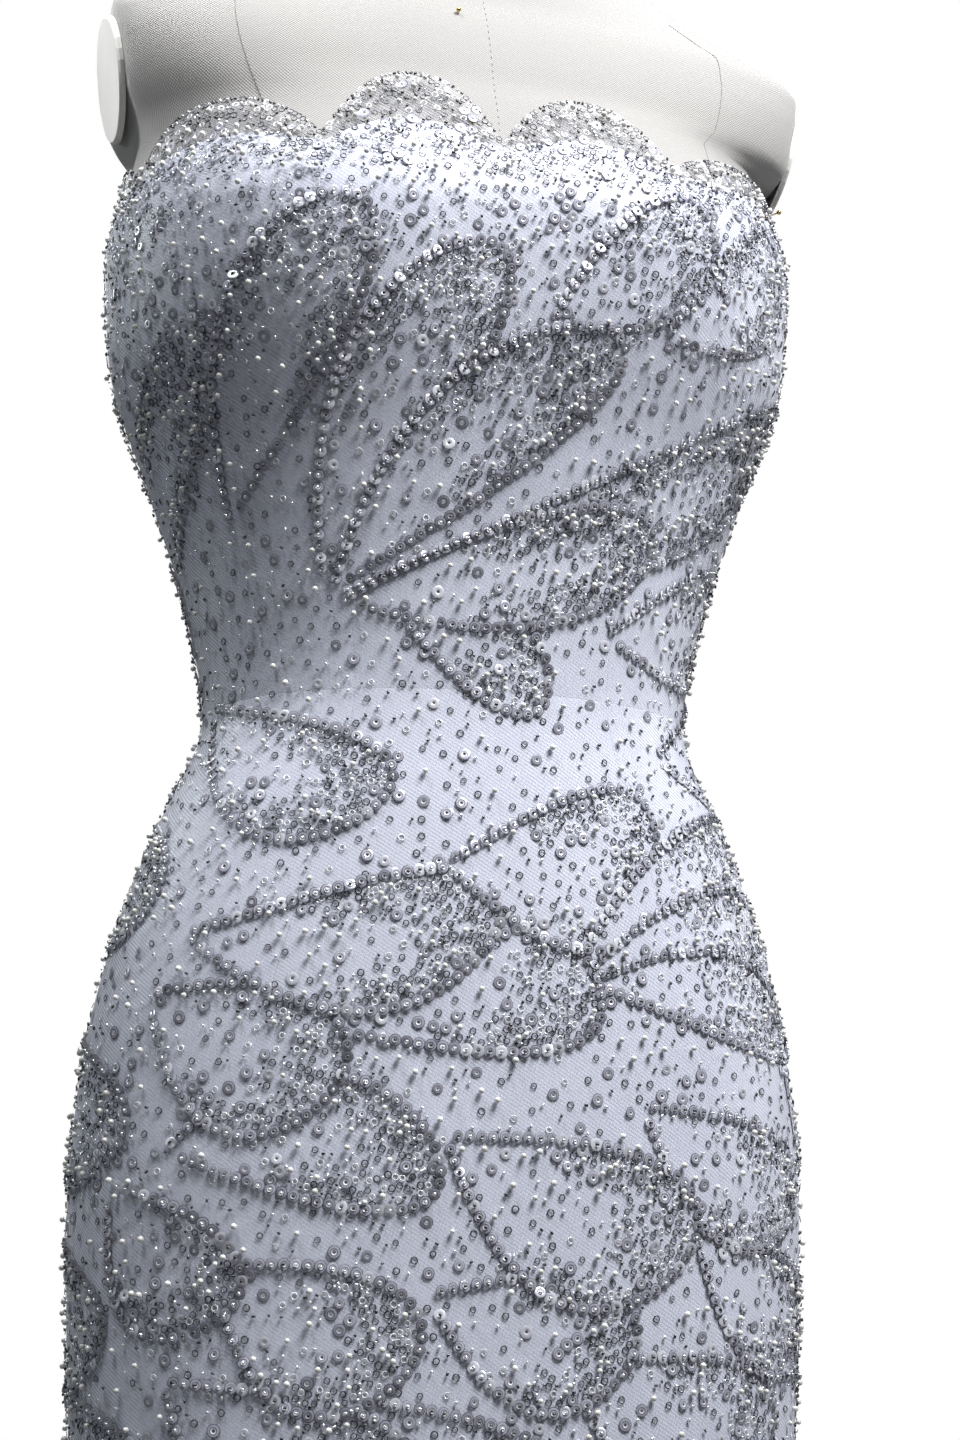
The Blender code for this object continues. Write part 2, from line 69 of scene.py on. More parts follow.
Ring = namedtuple("Ring", "from_waist half_width front back")
GOWN_RINGS = (
    Ring(0.270, 0.1440, 0.0890, 0.0990),
    Ring(0.235, 0.1455, 0.1030, 0.0990),
    Ring(0.205, 0.1518, 0.1130, 0.0970),
    Ring(0.160, 0.1495, 0.1090, 0.0905),
    Ring(0.100, 0.1298, 0.0960, 0.0800),
    Ring(0.050, 0.1133, 0.0870, 0.0730),
    Ring(0.000, 0.1040, 0.0830, 0.0710),
    Ring(-0.050, 0.1235, 0.0870, 0.0830),
    Ring(-0.100, 0.1406, 0.0910, 0.1030),
    Ring(-0.150, 0.1504, 0.0930, 0.1170),
    Ring(-0.200, 0.1540, 0.0940, 0.1220),
    Ring(-0.260, 0.1522, 0.0940, 0.1200),
    Ring(-0.330, 0.1480, 0.0930, 0.1130),
    Ring(-0.420, 0.1420, 0.0920, 0.1030),
    Ring(-0.520, 0.1330, 0.0900, 0.0960),
    Ring(-0.600, 0.1450, 0.1040, 0.1120),
    Ring(-0.700, 0.1830, 0.1480, 0.1580),
    Ring(-0.800, 0.2330, 0.2030, 0.2150),
    Ring(-0.900, 0.2880, 0.2620, 0.2750),
    Ring(-1.000, 0.3440, 0.3220, 0.3360),
    Ring(-1.048, 0.3700, 0.3500, 0.3640),
)
SQUARENESS = 2.25  # 2 would make the rings ellipses
BUST_HEIGHT = WAIST + 0.190
BUST_SHARE = 0.215
BUST_SWELL = 0.009
BUST_SPREAD = 0.042
FOLDS_ON_A_SIDE = 7.5
FOLD_DEPTH_AT_HEM = 0.030
FOLD_GROWTH = 1.25
FOLD_DRIFTS = ((0.9, 2, 0.6), (0.6, 3, 1.9))  # size, waves round and phase of their drift from even places
FOLD_HEIGHTS = (0.78, 0.22, 3, 0.4)  # mean height, and size, waves round and phase of its changes

FormRing = namedtuple("FormRing", "from_waist half_width front back squareness")
SHOULDER_RINGS = (
    FormRing(0.2620, 0.1540, 0.0885, 0.0950, 2.5),
    FormRing(0.2760, 0.1600, 0.0840, 0.0950, 2.6),
    FormRing(0.2900, 0.1630, 0.0785, 0.0930, 2.7),
    FormRing(0.3010, 0.1630, 0.0730, 0.0900, 2.8),
    FormRing(0.3075, 0.1530, 0.0690, 0.0850, 2.7),
    FormRing(0.3160, 0.1380, 0.0655, 0.0790, 2.5),
    FormRing(0.3280, 0.1165, 0.0615, 0.0720, 2.3),
    FormRing(0.3410, 0.0930, 0.0580, 0.0665, 2.2),
    FormRing(0.3540, 0.0710, 0.0545, 0.0610, 2.1),
    FormRing(0.3680, 0.0580, 0.0515, 0.0570, 2.0),
    FormRing(0.3880, 0.0530, 0.0490, 0.0535, 2.0),
    FormRing(0.4250, 0.0520, 0.0480, 0.0520, 2.0),
)
FORM_JOIN = WAIST + 0.250  # up to here the form follows the gown
SHOULDER_TILT = 0.045  # fall per metre to the wearer's left
LEVEL_AGAIN = (0.301, 0.388)  # between these heights over the waist the neck comes upright again
ARM_PLANE_LOW = (0.250, 0.1462)  # height over the waist and half width where the arm plates cut the form
ARM_PLANE_HIGH = (0.315, 0.1574)

Seam = namedtuple("Seam", "from_waist front_princess side back_princess")
SEAMS = (
    Seam(0.270, 0.240, 0.500, 0.760),
    Seam(0.190, 0.220, 0.500, 0.770),
    Seam(0.000, 0.185, 0.500, 0.800),
    Seam(-0.200, 0.240, 0.500, 0.770),
    Seam(-0.520, 0.270, 0.510, 0.760),
    Seam(-1.048, 0.270, 0.510, 0.760),
)

Scallop = namedtuple("Scallop", "ends_at rise_right rise_left")
SCALLOPS = (
    Scallop(0.185, 0.035, 0.028),
    Scallop(0.420, 0.024, 0.014),
    Scallop(0.640, 0.016, 0.016),
    Scallop(0.830, 0.016, 0.016),
    Scallop(1.000, 0.014, 0.014),
)
VALLEY_HEIGHT = WAIST + 0.226
SCALLOP_ROUNDNESS = 2.4

# ---------------------------------------------------------------- beadwork

# A petal of the beadwork: where it springs from and its round tip, measured from centre front (or
# centre back) and from the waist, its width, and how far its middle bows to the left of its way.
Petal = namedtuple("Petal", "root_x root_z tip_x tip_z width bow")
PETALS = (
    Petal(-0.060, 0.036, 0.075, 0.072, 0.044, -0.05),
    Petal(-0.036, 0.030, 0.024, -0.004, 0.036, 0.10),
    Petal(-0.062, 0.038, 0.172, 0.142, 0.042, -0.06),
    Petal(-0.064, 0.040, 0.050, 0.146, 0.046, 0.06),
    Petal(-0.068, 0.044, -0.004, 0.180, 0.050, 0.06),
    Petal(-0.112, 0.070, -0.062, 0.196, 0.052, 0.06),
    Petal(-0.200, 0.020, -0.118, 0.150, 0.052, 0.06),
    Petal(0.052, 0.028, 0.150, 0.060, 0.046, -0.08),
    Petal(0.070, 0.150, 0.140, 0.205, 0.044, -0.08),
    Petal(0.020, 0.150, 0.086, 0.206, 0.044, -0.08),
    Petal(-0.130, 0.000, -0.040, -0.042, 0.052, -0.14),
    Petal(0.040, -0.118, 0.168, -0.134, 0.036, 0.06),
    Petal(0.040, -0.114, 0.160, -0.086, 0.034, 0.05),
    Petal(0.038, -0.108, 0.146, -0.046, 0.034, 0.05),
    Petal(0.080, -0.020, 0.180, 0.006, 0.046, -0.06),
    Petal(-0.018, -0.072, 0.074, -0.050, 0.062, -0.16),
    Petal(-0.124, -0.100, 0.006, -0.084, 0.052, -0.12),
    Petal(-0.240, -0.040, -0.140, -0.078, 0.056, -0.10),
    Petal(-0.140, -0.124, -0.058, -0.156, 0.060, -0.10),
    Petal(-0.066, -0.140, 0.046, -0.124, 0.064, 0.14),
    Petal(-0.130, -0.186, -0.020, -0.196, 0.050, 0.10),
    Petal(-0.018, -0.180, 0.088, -0.216, 0.064, -0.12),
    Petal(0.064, -0.166, 0.156, -0.198, 0.052, -0.12),
    Petal(-0.250, -0.130, -0.150, -0.180, 0.056, -0.10),
    Petal(-0.156, -0.198, -0.100, -0.246, 0.050, -0.12),
    Petal(-0.108, -0.230, -0.028, -0.262, 0.056, -0.12),
    Petal(-0.024, -0.240, 0.060, -0.258, 0.052, -0.10),
    Petal(0.088, -0.214, 0.172, -0.252, 0.050, -0.12),
    Petal(0.150, -0.130, 0.236, -0.170, 0.052, -0.12),
    Petal(-0.250, -0.210, -0.160, -0.262, 0.056, -0.12),
)
# Below those, rows of petals by rule, on over the upper half of the flounce.
PETAL_ROWS_FROM = -0.276
PETAL_ROWS_TO = -0.820
PETAL_FLARE = 0.50  # how much larger the petals are low on the flounce than on the skirt
PETAL_FLARE_OVER = 0.3  # metres below the knee seam in which they grow so
PETAL_ROW_STEP = 0.052
PETAL_COLUMN_STEP = 0.088
PETAL_ROW_REACH = 0.40
PETAL_ROW_LENGTH = 0.098
PETAL_ROW_WIDTH = 0.054
PETAL_ROW_BOW = -0.12
PETAL_ROW_AIM = math.radians(-24)
PETAL_TURNS, PETAL_SLIDES, PETAL_RISES = 0.22, 0.012, 0.010  # how far one may differ from the rule
PETAL_LENGTHENS, PETAL_WIDENS = 0.12, 0.10
PETAL_FULLEST = 0.62  # where along its length a petal is widest
STEM_TAPER = 0.95
STEM_SAMPLES, TIP_SAMPLES = 200, 120

PLAIN_DENSITY = 1.55e4  # beads per square metre between the motifs
PACKED_DENSITY = 13.0e4  # inside the round tips
PACKED_BAND = 0.0135
PACKED_FROM = 0.32  # share of a petal's length at which its rim begins to thicken
PACKED_OVER = 0.30
TIP_FILL = 0.62  # how packed the middle of a tip is
TIP_FILL_FROM, TIP_FILL_OVER = 0.62, 0.2
FAR_PACKING = 0.50  # how packed the tips are on the back and low down, beside those on the front
FLOUNCE_PACKING = 0.12
PACKED_DOWN_TO = WAIST - 0.31  # on the front, tips are fully packed down to here
FINE_DOWN_TO = WAIST - 0.30  # and beads have their full number of sides down to here
SEED_CLOSENESS = 0.54  # seed beads fill the gaps between the others
TOUCHING = 0.92  # share of two beads' radii that has to lie between them
HEM_DENSITY = 0.40e4
HEM_THINNING = 0.6  # how soon beads thin out below the knee seam: lower is sooner
BUST_DENSER_FROM = WAIST + 0.120
BUST_DENSER_OVER = 0.080
BUST_EXTRA = 1.7e4  # more beads per square metre at the top of the bodice than below it
EDGE_BAND = 0.015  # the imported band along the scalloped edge
ARC_DROP = 0.012  # a second band, under the valleys, which arches less than the scallops do
ARC_FOLLOWS = 0.33
ARC_BAND = 0.006
ARC_SHARE = 0.8
CANDIDATES_PER_BEAD = 5.0
EDGE_MARGIN = 0.0015  # scattered beads keep this far below the scalloped edge
HEM_MARGIN = 0.002
CHAIN_STEP = 0.0047
CHAIN_SMALLEST, CHAIN_GROWS = 0.92, 0.15  # sizes of its sequins, largest towards the tip
CHAIN_SWELLS = 0.85  # how far along half a wave those sizes get between root and tip
CHAIN_LIFT, CHAIN_TUBE_LIFT = 0.0006, 0.0010
CHAIN_BELOW_EDGE = 0.014
HIDDEN_FROM = 0.0005  # a petal hides the chain of one below it this far inside its own outline
CHAIN_CLEAR = 0.0030  # scattered beads keep this far from a chained one
EDGE_CLEAR = 0.0016
EDGE_ROW_PITCH = 0.0021
EDGE_ROW_DROP = 0.0006
EDGE_ROW_REACH = 0.995  # it stops this share of the way to centre back
EDGE_LONGER = 1.15  # how much longer the scalloped edge is than a straight one
EDGE_ROW_TUBES = 0.55  # share of short tubes in the row along the edge; the rest are rings
FIXED_SIZE = 0.95
LOOSE_SIZES = (0.86, 1.10)
LOOSE_SPACING = 0.72  # how much of a bead's share of the cloth it keeps to itself
CHAIN_TILT = 0.24  # chained sequins lean on each other like scales
LOOSE_TILT = 0.11
TUBE_TILT = 0.12

# One kind of bead: its radii and height, how far it lies off the net, the sides of its ring, ball or tube
# (where the camera sees it, elsewhere), and how many of 100 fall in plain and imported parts. Sequins are
# flat rings, seed beads short tubes that lie down.
Bead = namedtuple("Bead", "name outer crown hole height lift sides far_sides plain packed slot")
BEADS = (
    Bead("cup_sequins", 0.0025, 0.00130, 0.0006, 0.00035, 0.0003, 11, 5, 17, 5, "sequins"),
    Bead("glass_rings", 0.0015, 0.00126, 0.00098, 0.00030, 0.00015, 8, 4, 41, 60, "beads"),
    Bead("pearls", 0.00125, 0.0, 0.0, 0.0, 0.0002, 8, 6, 17, 8, "beads"),
    Bead("seed_beads", 0.00055, 0.0, 0.0, 0.0013, 0.0001, 5, 3, 25, 27, "beads"),
)
SEQUIN, RING_BEAD, PEARL, SEED_BEAD = range(4)
BALL_RINGS, FAR_BALL_RINGS = 5, 3
TUBE_SIDES = 6
SEED = 41


def unit(vectors):
    """Each vector at length 1."""
    return vectors / np.linalg.norm(vectors, axis=-1, keepdims=True)


def run_along(points):
    """Distance along a line of points to each of them."""
    return np.concatenate([[0.0], np.cumsum(np.linalg.norm(np.diff(points, axis=0), axis=1))])


def clamped(value):
    """The value, kept between 0 and 1."""
    return np.clip(value, 0.0, 1.0)


def bell(offset, width):
    """A smooth hump: 1 at no offset, 0.37 at the width."""
    return np.exp(-((offset / width) ** 2))


def smooth(xs, ys, x):
    """Monotone cubic through the points (xs rising), so a table's curve never overshoots its rows."""
    xs, ys = np.asarray(xs, float), np.asarray(ys, float)
    step = np.diff(xs)
    slope = np.diff(ys) / step
    total = slope[:-1] + slope[1:]
    product = slope[:-1] * slope[1:]
    inner = np.where(product > 0, 2 * product / np.where(total == 0, 1, total), 0.0)
    tangent = np.concatenate([slope[:1], inner, slope[-1:]])
    x = np.clip(np.asarray(x, float), xs[0], xs[-1])
    k = np.clip(np.searchsorted(xs, x, side="right") - 1, 0, len(step) - 1)
    t = (x - xs[k]) / step[k]
    return (
        (1 + 2 * t) * (1 - t) ** 2 * ys[k]
        + t * (1 - t) ** 2 * step[k] * tangent[k]
        + t * t * (3 - 2 * t) * ys[k + 1]
        + t * t * (t - 1) * step[k] * tangent[k + 1]
    )


def column(table, field, height):
    """A table's column at heights above the floor."""
    rows = sorted(table, key=lambda row: row.from_waist)
    return smooth([WAIST + row.from_waist for row in rows], [getattr(row, field) for row in rows], height)


RING_SAMPLES = 960
SHARES = np.linspace(-1.0, 1.0, RING_SAMPLES + 1)


def superellipse(half_width, front, back, squareness):
    """Closed outline from centre back by centre front to centre back, at equal shares of each half."""
    angle = np.linspace(-math.pi, math.pi, RING_SAMPLES + 1)
    across, along = np.sin(angle), np.cos(angle)
    depth = np.where(along > 0, front, back)
    sideways, forwards = np.abs(across / half_width), np.abs(along / depth)
    reach = (sideways**squareness + forwards**squareness) ** (-1 / squareness)
    points = np.stack([reach * across, -reach * along], axis=1)
    middle = RING_SAMPLES // 2
    halves = []
    for half in (points[: middle + 1], points[middle:]):
        run = run_along(half)
        even = np.linspace(0, run[-1], middle + 1)
        halves.append(np.stack([np.interp(even, run, half[:, 0]), np.interp(even, run, half[:, 1])], axis=1))
    return np.concatenate([halves[0][:-1], halves[1]])


def outward(points):
    """Unit normals of a closed outline in its plane."""
    step = np.roll(points[:-1], -1, axis=0) - np.roll(points[:-1], 1, axis=0)
    step = np.concatenate([step, step[:1]])
    return unit(np.stack([step[:, 1], -step[:, 0]], axis=1))


def fold_wave(shares):
    """Uneven flounce folds round the skirt, from -1 in a hollow to 1 on a crest."""
    turn = math.pi * shares
    uneven = FOLDS_ON_A_SIDE * 2 * turn
    for size, waves, phase in FOLD_DRIFTS:
        uneven = uneven + size * np.sin(waves * turn + phase)
    mean, size, waves, phase = FOLD_HEIGHTS
    return (mean + size * np.sin(waves * turn + phase)) * np.cos(uneven)


def fold_depth(height):
    """Half the depth of the folds at one height."""
    return FOLD_DEPTH_AT_HEM * max(0.0, (KNEE_SEAM - height) / (KNEE_SEAM - HEM)) ** FOLD_GROWTH


def gown_outline(height):
    """Outer points and half the girth (of the plain form under swell and folds), at one height."""
    sizes = [float(column(GOWN_RINGS, field, height)) for field in ("half_width", "front", "back")]
    base = superellipse(*sizes, SQUARENESS)
    half_girth = float(np.linalg.norm(np.diff(base, axis=0), axis=1).sum()) / 2
    aside = (np.abs(SHARES) - BUST_SHARE) * half_girth
    swell = BUST_SWELL * np.exp(-(aside**2 + (height - BUST_HEIGHT) ** 2) / (2 * BUST_SPREAD**2))
    points = base + outward(base) * (swell + fold_depth(height) * fold_wave(SHARES))[:, None]
    return points, half_girth


class ClothMap:
    """The gown's outer surface, read at any share and height by bilinear steps through a fine grid."""

    ROW_STEP = 0.004

    def __init__(self):
        rows = int(round((MAP_TOP - HEM) / self.ROW_STEP)) + 1
        self.heights = np.linspace(HEM, MAP_TOP, rows)
        outlines = [gown_outline(height) for height in self.heights]
        self.half_girths = np.array([half for _, half in outlines])
        points = np.stack([outline for outline, _ in outlines])
        tall = np.repeat(self.heights[:, None], RING_SAMPLES + 1, axis=1)
        self.points = np.concatenate([points, tall[..., None]], axis=2)
        up = np.gradient(self.points, axis=0)
        wrapped = np.concatenate([self.points[:, -2:-1], self.points, self.points[:, 1:2]], axis=1)
        round_ = wrapped[:, 2:] - wrapped[:, :-2]
        self.normals = unit(np.cross(round_, up))

    def half_girth(self, height):
        return np.interp(height, self.heights, self.half_girths)

    def read(self, grid, share, height):
        row = clamped((np.asarray(height) - HEM) / (MAP_TOP - HEM)) * (len(self.heights) - 1)
        col = clamped((np.asarray(share) + 1) / 2) * RING_SAMPLES
        r = np.minimum(row.astype(int), len(self.heights) - 2)
        c = np.minimum(col.astype(int), RING_SAMPLES - 1)
        fr, fc = (row - r)[..., None], (col - c)[..., None]
        low = grid[r, c] * (1 - fc) + grid[r, c + 1] * fc
        high = grid[r + 1, c] * (1 - fc) + grid[r + 1, c + 1] * fc
        return low * (1 - fr) + high * fr

    def normal(self, share, height):
        return unit(self.read(self.normals, share, height))

    def at(self, share, height, lift=0.0):
        """Points on the cloth, moved out by lift along its normal."""
        share, height = np.broadcast_arrays(share, height)
        lift = np.broadcast_to(lift, share.shape)[..., None]
        return self.read(self.points, share, height) + lift * self.normal(share, height)

    def share_of(self, x, height, behind):
        """Share of a point x metres from centre front, or from centre back as seen from behind."""
        part = np.asarray(x) / self.half_girth(height)
        return np.where(behind, -np.sign(part) * (1 - np.abs(part)), part)

    def across(self, share, height):
        """Metres from centre front, or on the back half from centre back as seen from behind."""
        part = np.where(np.abs(share) <= 0.5, share, -np.sign(share) * (1 - np.abs(share)))
        return part * self.half_girth(height)


CLOTH = ClothMap()


def seam_share(name, height):
    return 1.0 if name == "centre_back" else float(column(SEAMS, name, height))


def scallop_top(shares):
    """Height of the border's scalloped edge."""
    shares = np.asarray(shares, float)
    top = np.full(shares.shape, VALLEY_HEIGHT)
    begin = 0.0
    for scallop in SCALLOPS:
        here = (np.abs(shares) >= begin) & (np.abs(shares) <= scallop.ends_at + 1e-9)
        rise = np.where(shares > 0, scallop.rise_left, scallop.rise_right)
        across = 2 * (np.abs(shares) - begin) / (scallop.ends_at - begin) - 1
        top = np.where(here, VALLEY_HEIGHT + rise * (1 - np.abs(across) ** SCALLOP_ROUNDNESS), top)
        begin = scallop.ends_at
    return top


# ---------------------------------------------------------------- meshes


def link_object(name, data):
    """A new object at the origin that shows the data."""
    obj = bpy.data.objects.new(name, data)
    bpy.context.scene.collection.objects.link(obj)
    return obj


def add_piece(name, vertices, faces, material, uvs=None):
    """A mesh object at the origin, shaded smooth, with an optional UV pair for each vertex."""
    mesh = bpy.data.meshes.new(name)
    mesh.from_pydata([tuple(map(float, v)) for v in vertices], [], faces)
    if uvs is not None:
        layer = mesh.uv_layers.new(name="cloth")
        index = np.empty(len(mesh.loops), np.int32)
        mesh.loops.foreach_get("vertex_index", index)
        layer.data.foreach_set("uv", np.asarray(uvs, np.float32)[index].ravel())
    mesh.materials.append(material)
    mesh.shade_smooth()
    return link_object(name, mesh)


def grid_faces(rows, columns, start=0, flip=False):
    """Quads of a grid of vertices, rows by columns."""
    faces = []
    for i in range(rows - 1):
        for j in range(columns - 1):
            a = start + i * columns + j
            quad = (a, a + 1, a + columns + 1, a + columns)
            faces.append(quad[::-1] if flip else quad)
    return faces


def closed_faces(rows, columns):
    """Faces of a skin of rings whose last column lies on the first, with one face over each end."""
    last = (rows - 1) * columns
    ends = [tuple(range(columns - 1))[::-1], tuple(last + j for j in range(columns - 1))]
    return grid_faces(rows, columns) + ends


def shell(outer, inner):
    """Vertices and faces of a closed wall between two grids, indexed [row, column]."""
    rows, columns = outer.shape[:2]
    count = rows * columns
    vertices = np.concatenate([outer.reshape(-1, 3), inner.reshape(-1, 3)])
    faces = grid_faces(rows, columns) + grid_faces(rows, columns, count, flip=True)
    for j in range(columns - 1):
        faces.append((j, count + j, count + j + 1, j + 1))
        top = (rows - 1) * columns + j
        faces.append((top, top + 1, count + top + 1, count + top))
    for i in range(rows - 1):
        a, b = i * columns, (i + 1) * columns
        faces.append((a, b, count + b, count + a))
        a, b = a + columns - 1, b + columns - 1
        faces.append((a, count + a, count + b, b))
    return vertices, faces


def grid_area(grid):
    """Area of a grid of points."""
    a, b, c, d = grid[:-1, :-1], grid[:-1, 1:], grid[1:, 1:], grid[1:, :-1]
    return float(np.linalg.norm(np.cross(c - a, d - b), axis=2).sum()) / 2


def grid_size(grid):
    """Greatest width and length of a grid, measured along the cloth."""
    widths = np.linalg.norm(np.diff(grid, axis=1), axis=2).sum(axis=1)
    lengths = np.linalg.norm(np.diff(grid, axis=0), axis=2).sum(axis=0)
    return float(widths.max()), float(lengths.max())


def declare_sheet(grid):
    """Works out what the piece was cut to: its width, length and area along the cloth, without passing them
    on.
    """
    width, length = grid_size(grid)
    area = min(grid_area(grid), width * length)


# ---------------------------------------------------------------- materials

SATIN_SHADE = (0.690, 0.722, 0.872)
SATIN_LIGHT = (0.780, 0.812, 0.955)
NET_PITCH = 0.0028  # two threads of one direction to each pitch
KNIT_PITCH = 0.0015
JERSEY_SHADE = (0.325, 0.319, 0.314)
JERSEY_LIGHT = (0.378, 0.373, 0.369)


class Wire:
    """A number on its way between shader nodes, so that sums on it are written as expressions."""

    def __init__(self, finish, socket):
        self.finish, self.socket = finish, socket

    def sum(self, operation, first, second=None):
        values = {0: first} if second is None else {0: first, 1: second}
        return self.finish.node("ShaderNodeMath", {"operation": operation}, values)

    def __add__(self, other):
        return self.sum("ADD", self, other)

    def __mul__(self, other):
        return self.sum("MULTIPLY", self, other)

    def __gt__(self, other):
        return self.sum("GREATER_THAN", self, other)

    __radd__, __rmul__ = __add__, __mul__

    def sine(self):
        return self.sum("SINE", self)

    def size(self):
        return self.sum("ABSOLUTE", self)


def set_ramp(ramp, stops):
    """Gives a colour ramp its stops."""
    while len(ramp.elements) > len(stops):
        ramp.elements.remove(ramp.elements[-1])
    while len(ramp.elements) < len(stops):
        ramp.elements.new(1.0)
    for element, (place, colour) in zip(ramp.elements, stops):
        element.position = place
        element.color = (*colour, 1.0)


def feed(tree, node, sockets):
    """Sets a node's sockets, each to a value or to another node's output."""
    for key, value in sockets.items():
        socket = node.inputs[key.replace("_", " ") if isinstance(key, str) else key]
        value = value.socket if isinstance(value, Wire) else value
        if isinstance(value, bpy.types.NodeSocket):
            tree.links.new(value, socket)
        elif socket.type == "RGBA" and len(value) == 3:
            socket.default_value = (*value, 1.0)
        else:
            socket.default_value = value


def add_node(tree, kind, settings=None, sockets=None):
    """A new node in a tree: its settings first, then its sockets."""
    made = tree.nodes.new(kind)
    for key, value in (settings or {}).items():
        if key == "stops":
            set_ramp(made.color_ramp, value)
        else:
            setattr(made, key, value)
    feed(tree, made, sockets or {})
    return made


class Finish:
    """One material: a Principled shader with the nodes that feed it."""

    def __init__(self, name, **sockets):
        self.material = bpy.data.materials.new(name)
        self.material.use_nodes = True
        self.tree = self.material.node_tree
        self.shader = self.tree.nodes["Principled BSDF"]
        feed(self.tree, self.shader, sockets)

    def node(self, kind, settings=None, sockets=None, output=0):
        """Adds a node and gives one output as a wire."""
        return Wire(self, add_node(self.tree, kind, settings, sockets).outputs[output])

    def finished(self, **sockets):
        """Feeds the shader's last sockets and gives the material."""
        feed(self.tree, self.shader, sockets)
        return self.material

    def mix(self, share, first, second):
        """A colour between two, by share."""
        settings = {"data_type": "RGBA", "clamp_factor": True}
        return self.node("ShaderNodeMix", settings, {0: share, 6: first, 7: second}, output=2)

    def place(self, scale=(1.0, 1.0, 1.0), turn=0.0, uv=False):
        """Object coordinates, or the cloth's own UV map, scaled and turned."""
        if uv:
            source = self.node("ShaderNodeUVMap", {"uv_map": "cloth"})
        else:
            source = self.node("ShaderNodeTexCoord", output=3)
        sockets = {"Vector": source, "Scale": scale, "Rotation": (0, 0, turn)}
        return self.node("ShaderNodeMapping", None, sockets)

    def noise(self, scale, place, detail=2.0, roughness=0.5):
        sockets = {"Vector": place, "Scale": scale, "Detail": detail, "Roughness": roughness}
        return self.node("ShaderNodeTexNoise", None, sockets)

    def bands(self, place, axis, pitch):
        """A smooth wave from -1 to 1 along one axis of a place, repeating every pitch metres."""
        apart = self.node("ShaderNodeSeparateXYZ", None, {0: place}, output=axis)
        return (apart * (2 * math.pi / pitch)).sine()

    def bump(self, height, distance, strength=1.0, under=None):
        sockets = {"Height": height, "Distance": distance, "Strength": strength}
        if under is not None:
            sockets["Normal"] = under
        return self.node("ShaderNodeBump", None, sockets)


def satin_finish():
    """Pale lilac duchess satin: soft gloss, fine slubs, slow drifts of tone and barely any creases."""
    finish = Finish("pale_lilac_satin", Sheen_Weight=0.2, Sheen_Roughness=0.4, Specular_IOR_Level=0.5)
    flat = finish.place(uv=True)
    drift = finish.noise(14.0, flat, detail=3.0)
    slub = finish.noise(900.0, finish.place(scale=(1.0, 0.12, 1.0), uv=True), detail=1.0)
    creases = finish.noise(17.0, finish.place(scale=(1.0, 0.55, 1.0), uv=True), detail=2.0)
    soft = finish.bump(creases, 0.0030, 0.5)
    return finish.finished(
        Base_Color=finish.mix(drift, SATIN_SHADE, SATIN_LIGHT),
        Roughness=drift * 0.14 + 0.34,
        Normal=finish.bump(slub, 0.00008, 0.6, under=soft),
    )


def net_finish():
    """Sheer net: fine slanting threads with nothing between them but a trace of shine."""
    finish = Finish("sheer_lilac_net", Base_Color=(0.49, 0.51, 0.60), Roughness=0.6, Sheen_Weight=0.3)
    first = finish.bands(finish.place(turn=math.radians(-57), uv=True), 0, NET_PITCH)
    second = finish.bands(finish.place(turn=math.radians(20), uv=True), 0, NET_PITCH)
    thread = (first.size() > 0.88) * 0.40 + (second.size() > 0.96) * 0.16
    return finish.finished(Alpha=thread + 0.03, Roughness=thread * 0.1 + 0.5)


def bead_tone(finish):
    """The tone that each bead carries, from 0, dark, to 1, bright."""
    return finish.node("ShaderNodeAttribute", {"attribute_name": "tone"}, output=2)


def across_bead(finish, stops):
    """A colour by how far out a place on a pierced bead is, from 0 at its middle to 1 at its rim."""
    reach = finish.node("ShaderNodeAttribute", {"attribute_name": "reach"}, output=2)
    return finish.node("ShaderNodeValToRGB", {"stops": stops}, {"Fac": reach})


def sequin_finish():
    """Smoky sequins: a grey-violet band, with painted shade as a dark rim and a dark step, and a painted
    highlight as a bright cup round the hole.
    """
    finish = Finish("smoky_silver_sequins", Metallic=0.15, Coat_Weight=0.7, Coat_Roughness=0.05)
    tone = bead_tone(finish)
    # Painted shade: the dark rim and the dark step at the crown. Painted highlight: the bright cup round the
    # hole.
    stops = (
        (0.24, (0.74, 0.76, 0.84)),
        (0.44, (0.86, 0.88, 0.96)),
        (0.48, (0.030, 0.030, 0.040)),
        (0.55, (0.040, 0.040, 0.055)),
        (0.60, (0.370, 0.375, 0.470)),
        (0.85, (0.450, 0.455, 0.560)),
        (0.91, (0.045, 0.045, 0.060)),
        (1.00, (0.035, 0.035, 0.050)),
    )
    rings = finish.mix((tone > 0.84) * 0.75, across_bead(finish, stops), (0.84, 0.86, 0.93))
    dim = finish.mix(tone * 0.5, rings, (0.47, 0.48, 0.57))
    grain = finish.noise(2500.0, finish.place(), detail=1.0)
    return finish.finished(Base_Color=dim, Roughness=grain * 0.14 + 0.22)


def glass_finish():
    """Silver-lined glass rings: dark outside, bright towards the hole."""
    finish = Finish("silver_lined_glass", Metallic=0.1, Coat_Roughness=0.03, Specular_IOR_Level=0.35)
    tone = bead_tone(finish)
    stops = (
        (0.67, (0.40, 0.41, 0.45)),
        (0.74, (0.12, 0.12, 0.15)),
        (0.82, (0.020, 0.020, 0.028)),
        (1.00, (0.012, 0.012, 0.018)),
    )
    bright = finish.mix((tone > 0.68) * 0.85, across_bead(finish, stops), (0.90, 0.92, 0.97))
    swirl = finish.noise(1800.0, finish.place(), detail=1.0)
    return finish.finished(Base_Color=bright, Roughness=swirl * 0.10 + 0.12, Coat_Weight=tone * 0.4)


